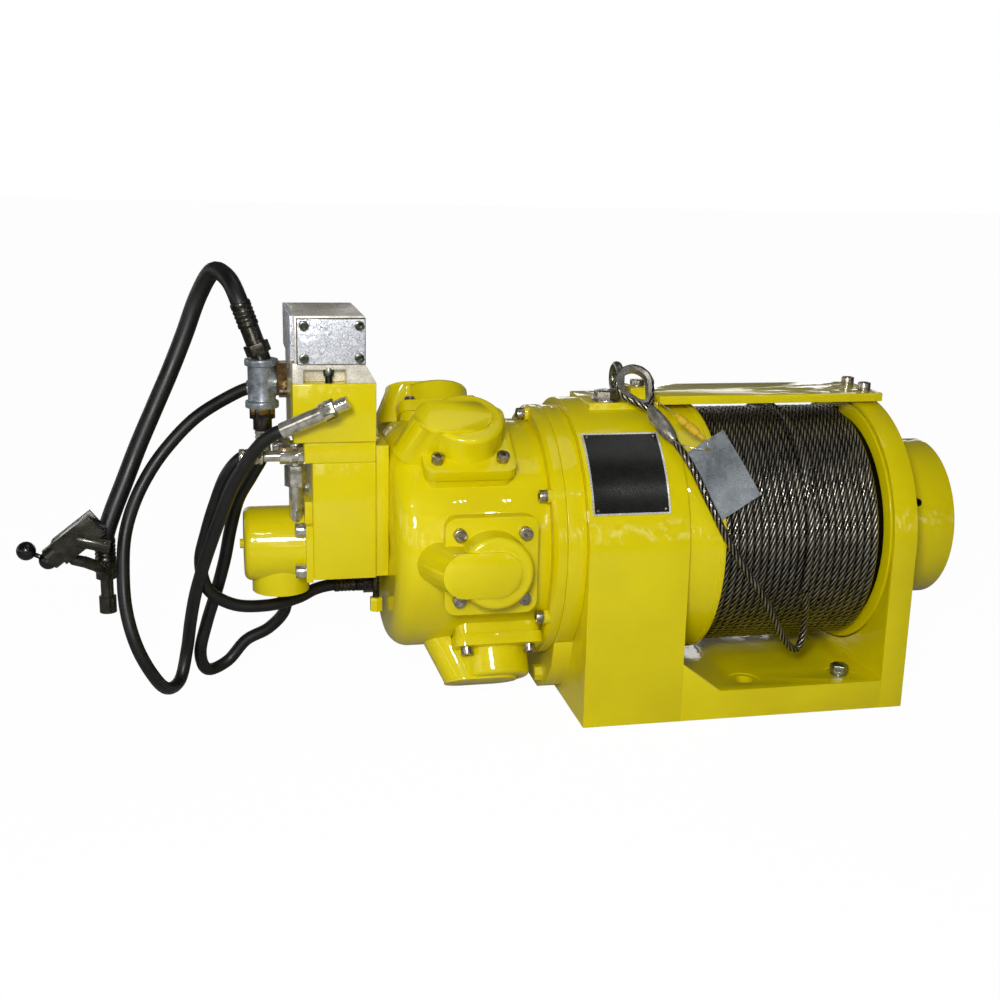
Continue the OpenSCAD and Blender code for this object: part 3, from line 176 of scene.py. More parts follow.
def ropeSteel():
    # laid wire rope: six strands of bright wire, dark with grease in the valleys between them; the light
    # crests are partly a painted highlight and the dark valleys partly painted shade
    strands, wiresAcross, wiresAlong, wireDepth = 6, 4, 6, 0.16
    wearRange, leastWear = 0.35, 0.32
    material, tree, shader, place = startMaterial("greasedWirePaintedLight", Metallic=0.9)
    lay = addNode(tree, "SeparateXYZ", {0: addNode(tree, "UVMap", uv_map="UVMap").outputs["UV"]}).outputs
    # the UV map's Y turns with the lay; a strand runs from 0 in a valley to 0.5 on its crest
    around = addNode(tree, "Math", {0: lay["Y"], 1: strands}, operation="MULTIPLY").outputs[0]
    strand = addNode(tree, "Math", {0: around, 1: 0.5}, operation="PINGPONG").outputs[0]
    along = addNode(tree, "Math", {0: lay["X"], 1: wiresAlong}, operation="MULTIPLY").outputs[0]
    twisted = addNode(tree, "Math", {0: along, 1: around}, operation="ADD").outputs[0]
    wires = addNode(tree, "Math", {0: twisted, 1: wiresAcross}, operation="MULTIPLY").outputs[0]
    wire = addNode(tree, "Math", {0: wires, 1: 0.5}, operation="PINGPONG").outputs[0]
    dirt = addNode(tree, "TexNoise", {"Vector": place, "Scale": perMetre(14), "Detail": 3.0}).outputs[0]
    wear = addNode(tree, "Math", {0: dirt, 1: wearRange, 2: leastWear}, operation="MULTIPLY_ADD").outputs[0]
    # crests lighter than valleys: worn wire and grease, partly a painted highlight on the crests and painted
    # shade in the valleys
    wornCrestAndHighlight = addNode(tree, "Math", {0: strand, 1: wear}, operation="MULTIPLY").outputs[0]
    crest = addNode(tree, "Math", {0: strand, 1: 0.5}, operation="POWER").outputs[0]
    height = addNode(tree, "Math", {0: wire, 1: wireDepth, 2: crest}, operation="MULTIPLY_ADD").outputs[0]
    dress(tree, shader, (wornCrestAndHighlight, "#0B0A08", "#BDB7A8"), (dirt, 0.22, 0.36), (height, 1.0, 1.5), (0.08, 0.25))
    return material


def wrinklePaint():
    # silver wrinkle finish: pale worms a few millimetres long with thin blue-grey valleys round them, painted
    # shade in the creases
    valley, flank = 0.045, 0.06  # how far the colour and the slope reach from the middle of a valley
    material, tree, shader, place = startMaterial("silverWrinkle", Metallic=0.35, Specular_IOR_Level=0.6)
    worms = addNode(tree, "TexNoise", {"Vector": place, "Scale": perMetre(4.2), "Detail": 1.0,
        "Distortion": 1.2}).outputs[0]
    centred = addNode(tree, "Math", {0: worms, 1: 0.5}, operation="SUBTRACT").outputs[0]
    ridge = addNode(tree, "Math", {0: centred}, operation="ABSOLUTE").outputs[0]
    slope = addNode(tree, "Math", {0: ridge, 1: flank}, operation="MINIMUM").outputs[0]
    # the blue-grey in the valleys is painted shade in the creases of the wrinkles
    dress(tree, shader, (ridge, "#737A8D", "#E8EAF0"), (worms, 0.24, 0.38), (slope, 0.8, 5), (0.0, valley))
    return material


def hoseRubber():
    # wrapped and cured hose cover: matte black with a faint grain and dust
    material, tree, shader, place = startMaterial("hoseRubber", Specular_IOR_Level=0.45)
    dust = addNode(tree, "TexNoise", {"Vector": place, "Scale": perMetre(25), "Detail": 4.0}).outputs[0]
    grain = addNode(tree, "TexNoise", {"Vector": place, "Scale": perMetre(1.6), "Detail": 2.0}).outputs[0]
    dress(tree, shader, (dust, "#0A0A09", "#161614"), (dust, 0.34, 0.5), (grain, 0.3, 0.15), (0.35, 0.75))
    return material


# mottled ones: dark and light colour, metallic, two roughnesses, then patch, grain and bump in millimetres
finishes = {
    "enamel": enamelPaint(),
    "rope": ropeSteel(),
    "rubber": hoseRubber(),
    "steel": machinedSteel(),
    # zinc plate on rolled screws, dull and stained: warm grey with brown patches
    "zinc": mottled("dirtyZincScrew", "#7A7263", "#C6BFAE", 1.0, (0.2, 0.36), 5, 1.2, 0.05),
    # polished nickel plate: sharp bright and dark bands, a painted reflection
    "plated": mottled("brightNickel", "#9A9588", "#E2DFD4", 0.8, (0.1, 0.22), 7, 2, 0.02),
    # yellow passivated zinc: a brown and gold sheen
    "brassy": mottled("yellowZinc", "#7D6038", "#BA9B6A", 1.0, (0.14, 0.28), 8, 1.5, 0.03),
    # steel pressed in a die: smooth mid grey with soft painted highlights
    "swaged": mottled("swagedSteel", "#6F6C66", "#A6A197", 0.6, (0.2, 0.38), 8, 1.6, 0.08),
    # drop forging left outdoors: greenish grey with dark spots
    "greenGrey": mottled("weatheredForging", "#5B5F4E", "#9DA08D", 0.9, (0.16, 0.34), 7, 1.6, 0.08),
    # bright rolled sheet at the plate's edge: a pale line
    "trim": mottled("polishedTrim", "#C9CBCC", "#EDEEEE", 0.5, (0.22, 0.34), 10, 1.5, 0.02),
    # oiled turned steel: near black brown, with lighter patches as painted small glints
    "darkSteel": mottled("oiledSteel", "#23221C", "#55524A", 0.95, (0.2, 0.4), 7, 1.4, 0.06),
    # black oxide bath: even black with a dull shine
    "blackOxide": mottled("blackOxide", "#141414", "#2B2B2A", 0.8, (0.3, 0.44), 8, 1.2, 0.05),
    # hot-dip zinc on malleable iron: blue-grey with a grainy skin
    "galvanised": mottled("galvanisedIron", "#6A7177", "#A4ABB1", 0.6, (0.2, 0.38), 7, 1.6, 0.12),
    # milled cast aluminium: pale and warm, with a fine grain
    "sandCast": mottled("castAluminium", "#D0CABA", "#F1EBDB", 0.3, (0.22, 0.36), 9, 1.3, 0.08),
    "wrinkle": wrinklePaint(),
    # olive passivated zinc: dark green-grey with bright patches, painted highlights standing for the bright
    # rims
    "olivePlated": mottled("olivePassivated", "#353A2E", "#8B8F7C", 1.0, (0.14, 0.3), 4, 1.5, 0.03),
    # rolled aluminium sheet: pale blue-grey with broad cloudy patches
    "aluminium": mottled("tagAluminium", "#9AA2A8", "#C3CBD0", 0.8, (0.22, 0.36), 30, 6, 0.02),
    # cast and turned bronze: warm brown gold
    "bronze": mottled("valveBronze", "#8A6A34", "#B08A4A", 1.0, (0.25, 0.4), 10, 1.2, 0.03),
    # moulded friction lining: matte brown specks
    "lining": mottled("brakeLining", "#4E4436", "#6B5A48", 0.0, (0.7, 0.9), 3, 1, 0.1),
    # olive lacquer on a rough casting: nearly black, with a wet shine
    "castOlive": mottled("oliveCastMetal", "#1F1E15", "#3F3D30", 0.6, (0.18, 0.36), 8, 1.5, 0.12, 0.3),
    # moulded phenolic: deep black with one sharp highlight
    "knob": mottled("glossPhenolic", "#050505", "#0D0D0D", 0.0, (0.14, 0.24), 12, 2, 0.02),
    # printed black field: even black, half gloss
    "plateBlack": mottled("blackPlateInk", "#0B0B0A", "#171714", 0.0, (0.2, 0.34), 10, 1, 0.01),
    # moulded plastic: warm yellow, half gloss
    "sealYellow": mottled("sealPlastic", "#C9A31C", "#DDBB2E", 0.0, (0.3, 0.42), 12, 1, 0.02),
}
print("finishes made")


# Mesh helpers

def makePiece(name, bm, finish, body="frame", replaced=(), smooth=38, recalc=True):
    if recalc:
        bmesh.ops.recalc_face_normals(bm, faces=bm.faces)
    mesh = bpy.data.meshes.new(name)
    bm.to_mesh(mesh)
    bm.free()
    mesh.shade_smooth()
    mesh.set_sharp_from_angle(angle=math.radians(smooth))
    for f in ([finish] if isinstance(finish, str) else finish):
        mesh.materials.append(finishes[f])
    piece = bpy.data.objects.new(name, mesh)
    bpy.context.scene.collection.objects.link(piece)
    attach(piece, body)
    if replaced:
        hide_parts(*replaced)
    return piece


bodyOf = {n: b for b, members in frame["record"]["behaviour"]["bodies"].items() for n in members}


def mergedNode(node, weldMm=0.004, flatTurn=0.6):
    # a copy of a CAD node with its loose triangles joined and its flat faces whole
    bm = bmesh.new()
    bm.from_mesh(frame["nodes"][node].data)
    bmesh.ops.remove_doubles(bm, verts=bm.verts, dist=weldMm * mm)
    bmesh.ops.dissolve_limit(bm, angle_limit=math.radians(flatTurn), verts=bm.verts, edges=bm.edges)
    return bm


crispWidth = 0.8  # millimetres, for corners that stay sharp


def softened(node, name, finish, width, segments=3, corner=32, crisp=None):
    # a CAD node with its corners rounded as its paint or its casting rounds them, less so where crisp says
    bm = mergedNode(node)
    for offset in (width, crispWidth) if crisp else (width,):
        folds = [e for e in bm.edges if len(e.link_faces) == 2]
        sharp = [e for e in folds if e.calc_face_angle(0) > math.radians(corner)]
        if crisp:
            inside = offset == crispWidth
            sharp = [e for e in sharp if crisp((e.verts[0].co + e.verts[1].co) / 2) == inside]
        bmesh.ops.bevel(bm, geom=sharp, offset=offset * mm, offset_type="OFFSET", segments=segments,
            profile=0.5, affect="EDGES", clamp_overlap=True, material=-1)
    return makePiece(name, bm, finish, bodyOf[node], [node], recalc=False)


# Cords, first: their routes are those of the solids

def smoothed(points, share):
    # a smooth line through given points
    route = [Vector(p) for p in points]
    line = []
    for i in range(len(route) - 1):
        a, b = route[max(i - 1, 0)], route[i]
        c, d = route[i + 1], route[min(i + 2, len(route) - 1)]
        for k in range(share):
            t = k / share
            line.append(0.5 * (2 * b + (c - a) * t + (2 * a - 5 * b + 4 * c - d) * t * t
                + (3 * b - a - 3 * c + d) * t ** 3))
    return line + [route[-1]]


def lengthOf(line):
    return sum((b - a).length for a, b in zip(line, line[1:]))


def sweep(name, line, finish, radius=None, profile=None, twist=0.0, around=6, lay=0):
    # a curve drawn along the line, round or with a profile that twists, as a mesh with its own UV map
    data = bpy.data.curves.new(name, "CURVE")
    data.dimensions = "3D"
    data.twist_mode = "MINIMUM"
    spline = data.splines.new("POLY")
    spline.points.add(len(line) - 1)
    turned = 0.0
    for i, p in enumerate(line):
        spline.points[i].co = (*p, 1)
        turned += twist * (line[i] - line[i - 1]).length if i else 0
        spline.points[i].tilt = turned
    if profile:
        data.bevel_mode = "OBJECT"
        data.bevel_object = profile
    else:
        data.bevel_depth = radius
        data.bevel_resolution = around
    data.use_fill_caps = True
    temp = bpy.data.objects.new(name + "Line", data)
    bpy.context.scene.collection.objects.link(temp)
    bpy.context.view_layer.update()
    mesh = bpy.data.meshes.new_from_object(temp.evaluated_get(bpy.context.evaluated_depsgraph_get()))
    bpy.data.objects.remove(temp)
    mesh.name = name
    if lay:
        # along in lays, and around turned by one turn a lay unless the outline itself is twisted
        lays = lengthOf(line) / (lay * mm)
        for loop in mesh.uv_layers[0].uv:
            along = loop.vector.x * lays
            loop.vector = (along, loop.vector.y - (0 if twist else along))
    mesh.shade_smooth()
    mesh.materials.clear()
    mesh.materials.append(finishes[finish])
    piece = bpy.data.objects.new(name, mesh)
    bpy.context.scene.collection.objects.link(piece)
    return piece


def strandProfile(radius, strands=6, steps=4, valley=0.14):
    # the outline of six round strands laid together
    data = bpy.data.curves.new("strandProfile", "CURVE")
    data.dimensions = "2D"
    spline = data.splines.new("POLY")
    spline.points.add(strands * steps - 1)
    spline.use_cyclic_u = True
    for i in range(strands * steps):
        angle = fullTurn * i / (strands * steps)
        share = abs(math.sin(strands * angle / 2))
        reach = radius * (1 - valley + valley * share ** 0.6)
        spline.points[i].co = (reach * math.cos(angle), reach * math.sin(angle), 0, 1)
    profile = bpy.data.objects.new("strandProfile", data)
    bpy.context.scene.collection.objects.link(profile)
    return profile


hoses = {
    "mainHose": {"node": "main_hose", "diameter": 18.5, "far": "object", "route": [
        (-326.4, -10, 400.4), (-334.4, -10, 423), (-345, 6, 446), (-360, 30, 452), (-376, 45, 425),
        (-391, 46, 386), (-407, 40, 348), (-424, 32, 311), (-441, 22, 274), (-456, 11, 238), (-469, 1, 207),
        (-477, -4, 182), (-477, -4, 159.3)]},
    "longHose": {"node": "long_hose", "diameter": 13.4, "far": "fitting", "route": [
        (-303.3, 40, 330), (-326, 40, 330), (-353, 33, 319), (-381, 23, 303), (-405, 15, 281),
        (-427, 7, 254), (-445, -3, 222), (-456, -13, 188), (-459, -23, 151), (-457, -34, 114),
        (-448, -42, 78), (-434, -36, 44), (-421, -12, 18), (-408, 16, 16), (-400, 27, 46), (-395, 14, 81),
        (-389, -5, 116), (-381, -25, 149), (-371, -39, 182), (-360, -49, 214), (-348.5, -59, 245),
        (-340, -64, 261.5), (-330.5, -69, 278), (-318, -74, 294), (-306.4, -78, 303.4), (-299, -80, 306.6)]},
    "returnHose": {"node": "return_hose", "diameter": 13.4, "far": "object", "route": [
        (-315, -10, 294.7), (-315, -10, 270), (-327, -6, 246), (-341, 0, 220), (-350, 8, 186),
        (-357, 15, 150), (-367, 22, 112), (-378, 27, 76), (-386, 32, 40), (-379, 45, 15), (-357, 60, 18),
        (-336, 64, 40), (-311, 61, 54), (-293, 56, 76), (-293, 56, 100.7)]},
    "pilotHose": {"node": "pilot_hose", "diameter": 13.4, "far": "object", "route": [
        (-316.3, -45, 274), (-336, -45, 274), (-353, -38, 254), (-365, -26, 222), (-375, -14, 188),
        (-382, -4, 154), (-375, 2, 121), (-348, 8, 101), (-312, 16, 96), (-281, 27, 99), (-260, 35, 106),
        (-240, 38, 109), (-215.3, 38, 109)]},
}

# the crimped end points a little higher than its solid, turned where the hose enters it
crimp = {"base": spot(-299, -80, 306.6), "way": Vector((7.4, -2, 3.2)).normalized(), "tilt": -2.6, "nut": 46}
crimpedEnd = softened("crimped_end", "crimpedEnd", "plated", 0.5)
tilt = Matrix.Rotation(math.radians(crimp["tilt"]), 4, "Y")
tilt = Matrix.Translation(crimp["base"]) @ tilt @ Matrix.Translation(-crimp["base"])
crimpedEnd.data.transform(tilt)
for name, h in hoses.items():
    line = smoothed([spot(*p) for p in h["route"]], 6)
    piece = sweep(name, line, "rubber", radius=h["diameter"] / 2 * mm, around=6)
    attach(piece, "frame")
    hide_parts(h["node"])
    print("hose", name, round(lengthOf(line), 3))

# the rope's layer, its last turn over the layer, which sinks in at its far end, and its free end
rope = {"diameter": 7.8, "lay": 50, "line": 127.4, "start": 151.6, "turns": 21.0, "pitch": 8.3,
    "stepsPerTurn": 72, "leadStart": 109, "leadStep": 3.75, "leadSteps": 84, "leadNest": 1.3,
    "leadShift": 0.05, "sinkFrom": 68, "sinkStep": 0.6,
    "tail": [(243, -129, 133), (250, -120, 113), (256, -108, 93), (257, -104, 72), (250, -107, 59),
        (237, -113, 66), (224, -121, 82), (212, -127, 102), (199, -133, 122), (186, -137, 141),
        (171, -140, 160), (157, -142, 180), (144, -143, 200), (133, -141, 221), (123, -134, 242),
        (114, -127, 262), (105.6, -114.1, 279.8), (98, -98, 293)]}
ropeRadius = rope["diameter"] / 2 * mm
profile = strandProfile(ropeRadius)
layTwist = fullTurn / (rope["lay"] * mm)
windingLine = []
for i in range(int(rope["turns"] * rope["stepsPerTurn"]) + 1):
    angle = fullTurn * i / rope["stepsPerTurn"]
    windingLine.append(spot(rope["start"] + rope["pitch"] * i / rope["stepsPerTurn"],
        -rope["line"] * math.sin(angle), axisHeight + rope["line"] * math.cos(angle)))
winding = sweep("ropeWinding", windingLine, "rope", radius=ropeRadius, around=3, lay=rope["lay"])
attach(winding, "drum")
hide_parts("rope_winding")
leadLine = []
for i in range(rope["leadSteps"]):
    angle = math.radians(rope["leadStart"] - rope["leadStep"] * i)
    sink = max(0, i - rope["sinkFrom"]) * rope["sinkStep"]
    reach = rope["line"] + rope["diameter"] - rope["leadNest"] - sink
    leadLine.append(spot(rope["tail"][0][0] + rope["leadShift"] * i, -reach * math.sin(angle),
        axisHeight + reach * math.cos(angle)))
lead = sweep("ropeLead", leadLine, "rope", radius=ropeRadius, around=3, lay=rope["lay"])
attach(lead, "frame")
tailLine = smoothed([spot(*p) for p in rope["tail"]], 16)
tail = sweep("ropeTail", tailLine, "rope", profile=profile, twist=layTwist, lay=rope["lay"])
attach(tail, "frame")
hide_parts("rope_tail")
bpy.data.objects.remove(profile)
print("rope wound")


# Yellow castings and blocks

castings = {
    "basePlate": ("base_plate", 1.6), "gearHousing": ("gear_housing", 1.4), "endPlate": ("end_plate", 1.6),
    "tieBeam": ("tie_beam", 0.8), "bearingCover": ("bearing_cover", 1.2), "ropeDrum": ("drum", 1.0),
    "housingRing": ("housing_ring", 0.8), "motorFlange": ("motor_flange", 1.2),
    "motorCasing": ("motor_casing", 1.5), "cylinderCovers": ("cylinder_covers", 2.0),
    "valveFlange": ("valve_flange", 1.2), "lowerBlock": ("lower_block", 1.0),
    "middleBlock": ("middle_block", 1.0), "upperBlock": ("upper_block", 1.2),
    "pilotUnit": ("pilot_unit", 1.2)}
lidReach = 162.5  # beyond this distance from the shaft only the lids of the cylinder covers are left


def onLid(p):
    return math.hypot(p.y, p.z - axisHeight * mm) > lidReach * mm


for name, (node, width) in castings.items():
    softened(node, name, "enamel", width, crisp=onLid if node == "cylinder_covers" else None)
    print("casting", name)

softParts = {
    "eyeBolt": ("eye_bolt", "greenGrey", 0.5),
    "valveFoot": ("valve_foot", "sandCast", 0.8), "valveBody": ("valve_body", "sandCast", 1.0),
    "valveCovers": ("valve_covers", "wrinkle", 0.6), "teeFitting": ("tee", "galvanised", 1.2),
    "hoseSwivels": ("swivels", "darkSteel", 0.6), "platedFittings": ("plated_fittings", "plated", 0.5),
    "darkFittings": ("dark_fittings", "darkSteel", 0.5), "handValve": ("hand_valve", "castOlive", 1.0),
    "handLever": ("hand_lever", "knob", 0.2)}
for name, (node, finish, width) in softParts.items():
    softened(node, name, finish, width)
    print("fitting", name)


# Screws and bolts

def standOn(place, way):
    # a matrix that stands something made along Z on a place, pointing that way
    turn = Vector((0, 0, 1)).rotation_difference(Vector(way))
    return Matrix.Translation(place) @ turn.to_matrix().to_4x4()


def upright(bm, radius, low, high, segments=24, rim=0.0):
    # an upright cylinder with a rounded upper rim, in millimetres; gives its upper face
    middle = Matrix.Translation((0, 0, (low + high) / 2 * mm))
    made = bmesh.ops.create_cone(bm, cap_ends=True, segments=segments, radius1=radius * mm,
        radius2=radius * mm, depth=(high - low) * mm, matrix=middle)
    faces = {f for v in made["verts"] for f in v.link_faces}
    top = max(faces, key=lambda f: f.calc_center_median().z)
    if rim:
        bmesh.ops.bevel(bm, geom=list(top.edges), offset=rim * mm, offset_type="OFFSET", segments=2,
            profile=0.5, affect="EDGES", material=-1)
        top = max((f for f in bm.faces if len(f.verts) == segments), key=lambda f: f.calc_center_median().z)
    return top


socketRim = 0.38  # the flat round the socket as a share of the head's radius


def socketScrew(head):
    # a cap screw: round head, rounded rim, hexagon socket
    bm = bmesh.new()
    top = upright(bm, head["radius"], 0, head["height"], 24, head["rim"])
    bmesh.ops.inset_region(bm, faces=[top], thickness=(head["radius"] - head["rim"]) * socketRim * mm)
    across = head["socket"] * mm
    for v in top.verts:
        angle = math.atan2(v.co.y, v.co.x) % (fullTurn / 6)
        reach = across / math.cos(angle - math.pi / 6)
        flat = Vector((v.co.x, v.co.y)).normalized() * reach
        v.co.x, v.co.y = flat
    floor = bmesh.ops.extrude_discrete_faces(bm, faces=[top])["faces"][0]
    bmesh.ops.translate(bm, verts=floor.verts, vec=(0, 0, -head["depth"] * mm))
    return bm


def hexHead(head):
    # a hexagon head with its chamfered corners, on a washer face
    bm = bmesh.new()
    top = upright(bm, head["radius"], head["washer"], head["height"], 6)
    bmesh.ops.bevel(bm, geom=list(top.edges), offset=head["rim"] * mm, offset_type="OFFSET", segments=2,
        profile=0.5, affect="EDGES", material=-1)
    if head["washer"]:
        upright(bm, head["washerRadius"], 0, head["washer"], 32, 0.3)
    return bm


def scatter(template, places, scale=1.0):
    # one mesh of the same screw at many places
    mesh = bpy.data.meshes.new("template")
    bmesh.ops.recalc_face_normals(template, faces=template.faces)
    template.to_mesh(mesh)
    template.free()
    bm = bmesh.new()
    for place, way in places:
        before = len(bm.verts)
        bm.from_mesh(mesh)
        bm.verts.ensure_lookup_table()
        bmesh.ops.transform(bm, matrix=standOn(place, way) @ Matrix.Scale(scale, 4), verts=bm.verts[before:])
    bpy.data.meshes.remove(mesh)
    return bm


# the cylinder covers stand round the shaft, each on the plane of its own connecting rod
rowMiddle, rodPitch, flangeScrews = -98, 8.25, 128
headAngles = [30 + 60 * i for i in range(6)]
headShift = [rowMiddle + rodPitch * s for s in (-2, 0, 2, 1, -1, -3)]


def atHead(i, x, y, z):
    # a place and the outward way on cylinder cover i
    turn = Matrix.Rotation(math.radians(headAngles[i]), 3, "X")
    out = turn @ Vector((0, y, z))
    return spot(headShift[i] + x, out.y, axisHeight + out.z), turn @ Vector((0, 0, 1))


capHead = {"radius": 6.5, "height": 8, "rim": 0.8, "socket": 2.9, "depth": 4}
seat = {"alongShaft": 33.1, "across": 33.8, "height": 134}
coverPlaces = [atHead(i, sx * seat["alongShaft"], sy * seat["across"], seat["height"])
    for i in range(6) for sx in (-1, 1) for sy in (-1, 1)]
ringPlaces = []
for i in range(6):
    angle = fullTurn * i / 6
    y, z = -flangeScrews * math.sin(angle), axisHeight + flangeScrews * math.cos(angle)
    ringPlaces.append((spot(-38, y, z), (-1, 0, 0)))
bm = scatter(socketScrew(capHead), coverPlaces + ringPlaces)
makePiece("motorScrews", bm, "zinc", "frame", ["motor_screws"])

neckHead = {"radius": 5.6, "height": 8, "rim": 0.7, "socket": 2.5, "depth": 4}
notchPlaces = [(spot(-251, side * 57, 357), (0, 0, 1)) for side in (-1, 1)]
bm = scatter(socketScrew(neckHead), notchPlaces)
makePiece("notchScrews", bm, "olivePlated", "frame", ["small_screws"])
neck = bmesh.new()
upright(neck, 3.6, 0, 8.5, 24)
bm = scatter(neck, [(place - Vector((0, 0, 8 * mm)), way) for place, way in notchPlaces])
makePiece("notchScrewNecks", bm, "darkSteel", "frame", ["small_screws"])
platePlaces = [(spot(x, side * 69, z), (0, side, 0))
    for side in (-1, 1) for x in (-276, -222) for z in (376, 408)]
bm = scatter(socketScrew(capHead), platePlaces, 0.72)
makePiece("plateScrews", bm, "olivePlated", "frame", ["small_screws"])
pilotHead = {"radius": 7.3, "height": 11, "rim": 0.8, "socket": 3.2, "depth": 5}
pilotPlaces = [(spot(-275, sy * 45, 174 + sz * 22), (-1, 0, 0)) for sy in (-1, 1) for sz in (-1, 1)]
bm = scatter(socketScrew(pilotHead), pilotPlaces)
makePiece("pilotScrews", bm, "plated", "frame", ["small_screws"])

beamHead = {"radius": 7, "height": 9, "rim": 0.9, "socket": 3.4, "depth": 4.5}
bm = scatter(socketScrew(beamHead), [(spot(348, y, 328.5), (0, 0, 1)) for y in (-20, 20)])
makePiece("beamScrews", bm, "zinc", "frame", ["frame_bolts"])
coverHead = {"radius": 4.5, "height": 6, "rim": 0.5, "socket": 2.2, "depth": 3}
coverAngle, coverReach = math.radians(66), 83.3
way = (0, -math.sin(coverAngle), math.cos(coverAngle))
place = spot(393, coverReach * way[1], axisHeight + coverReach * way[2])
bm = scatter(socketScrew(coverHead), [(place, way)])
makePiece("coverScrew", bm, "blackOxide", "frame", ["frame_bolts"])
raisedHead = {"radius": 8, "height": 6.5, "rim": 0.8, "washer": 0.8, "washerRadius": 8}
bm = scatter(hexHead(raisedHead), [(spot(88.5, 0, 334), (0, 0, 1))])
makePiece("raisedBolt", bm, "zinc", "frame", ["frame_bolts"])
plugHead = {"radius": 13.5, "height": 11, "rim": 1.2, "washer": 2, "washerRadius": 16.5}
bm = scatter(hexHead(plugHead), [(spot(47, -23, 322), (0, 0, 1))])
makePiece("oilPlug", bm, "zinc", "frame", ["oil_plugs"])
drainHead = {"radius": 9, "height": 8, "rim": 1.0, "washer": 0.6, "washerRadius": 9.5}
bm = scatter(hexHead(drainHead), [(spot(-98, 0, axisHeight - 121), (0, 0, -1)),
    (spot(-20, -38, 22), (-1, 0, 0))])
makePiece("drainPlugs", bm, "enamel", "frame", ["oil_plugs"])
footHead = {"radius": 10, "height": 11, "rim": 1.0, "washer": 3, "washerRadius": 9}
bm = scatter(hexHead(footHead), [(spot(298, -115, 30.5), (0, 0, 1))])
makePiece("footBolt", bm, "greenGrey", "frame", [])


def makeGapShade(name, left, right, low, high, inner, outer):
    # a black sheet a hair wider than a cover plate, behind it: painted shade for the gap round the plate
    bm = bmesh.new()
    bmesh.ops.create_cube(bm, size=1)
    size = Vector((right - left, outer - inner, high - low)) * mm
    middle = spot((left + right) / 2, (inner + outer) / 2, (low + high) / 2)
    bmesh.ops.transform(bm, matrix=Matrix.Translation(middle) @ Matrix.Diagonal((*size, 1)), verts=bm.verts)
    makePiece(name, bm, "plateBlack", "frame")


# black sheets behind the valve cover plates: painted shade in the gaps round them
makeGapShade("frontGapShade", -282.9, -215.2, 369.2, 414.9, -66.2, -65.1)
makeGapShade("backGapShade", -282.9, -215.2, 369.2, 414.9, 65.1, 66.2)
print("screws made")


# Nameplate: a bare black field in a bright frame, bent round the housing

plate = {"left": 4, "length": 82, "low": 48, "high": 120, "radius": 143.8, "thickness": 1.5, "border": 1.9,
    "sunk": 0.3, "steps": 20, "intoPad": 0.2, "rivet": 1.7, "rivetInset": 5.5, "rivetTurn": 0.035,
    "rivetSunk": 0.4}


def makeNameplate(c):
    bm = bmesh.new()
    bmesh.ops.create_grid(bm, x_segments=1, y_segments=c["steps"], size=0.5)
    first, last = math.acos(c["high"] / c["radius"]), math.acos(c["low"] / c["radius"])
    reach = c["radius"] + c["thickness"]
    for v in bm.verts:
        angle = first + (last - first) * (v.co.y + 0.5)
        v.co = spot(c["left"] + c["length"] * (v.co.x + 0.5), -reach * math.sin(angle),
            axisHeight + reach * math.cos(angle))
    bmesh.ops.recalc_face_normals(bm, faces=bm.faces)
    if sum(f.normal.y for f in bm.faces) > 0:
        bmesh.ops.reverse_faces(bm, faces=bm.faces)
    field = list(bm.faces)
    bmesh.ops.inset_region(bm, faces=field, thickness=c["border"] * mm, depth=-c["sunk"] * mm,
        use_boundary=True, use_even_offset=True)
    for f in field:
        f.material_index = 1
    rim = [e for e in bm.edges if e.is_boundary]
    down = bmesh.ops.extrude_edge_only(bm, edges=rim)
    for v in (g for g in down["geom"] if isinstance(g, bmesh.types.BMVert)):
        centre = Vector((v.co.x, 0, axisHeight * mm))
        v.co = centre + (v.co - centre).normalized() * (c["radius"] - c["intoPad"]) * mm
    makePiece("namePlate", bm, ["trim", "plateBlack"], "frame", ["nameplate"], smooth=25,
        recalc=False)
    rivets = []
    for x in (c["left"] + c["rivetInset"], c["left"] + c["length"] - c["rivetInset"]):
        for angle in (first + c["rivetTurn"], last - c["rivetTurn"]):
            way = Vector((0, -math.sin(angle), math.cos(angle)))
            foot = way * (reach - c["rivetSunk"])
            rivets.append((spot(x, foot.y, axisHeight + foot.z), way))
    dome = bmesh.new()
    bmesh.ops.create_uvsphere(dome, u_segments=16, v_segments=10, radius=c["rivet"] * mm)
    bm = scatter(dome, rivets)
    makePiece("plateRivets", bm, "zinc", "frame", [], smooth=80)


makeNameplate(plate)
print("nameplate made")


# Rope eye, thimble, ferrule, tag

eye = {"middle": (70, -47, 343), "radius": 18, "lean": -28, "ferruleTurn": -65, "open": 60, "ferrule": 42,
    "throat": 2, "tuck": 6, "spread": 3.2}


def eyePoint(angle):
    # a place on the circle of the eye, which leans towards the housing
    lean, a = math.radians(eye["lean"]), math.radians(angle)
    x, y, z = eye["middle"]
    along, up = eye["radius"] * math.cos(a), eye["radius"] * math.sin(a)
    return spot(x + along, y - up * math.sin(lean), z + up * math.cos(lean))


profile = strandProfile(ropeRadius)
ferruleStart = spot(*rope["tail"][-1])
ferruleWay = (eyePoint(eye["ferruleTurn"]) - ferruleStart).normalized()
ferruleEnd = ferruleStart + ferruleWay * eye["ferrule"] * mm
throat = ferruleEnd + ferruleWay * eye["throat"] * mm
tucked = ferruleEnd - ferruleWay * eye["tuck"] * mm
loop = [eyePoint(eye["ferruleTurn"] + a) for a in range(eye["open"], 361 - eye["open"], 20)]
side = ferruleWay.cross(Vector((0, 1, 0))).normalized() * eye["spread"] * mm
ropeLoop = [tucked + side, throat] + loop + [throat, tucked - side]
ropeEye = sweep("ropeEye", smoothed(ropeLoop, 8), "rope", profile=profile, twist=layTwist, lay=rope["lay"])
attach(ropeEye, "frame")
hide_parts("rope_eye")
bpy.data.objects.remove(profile)


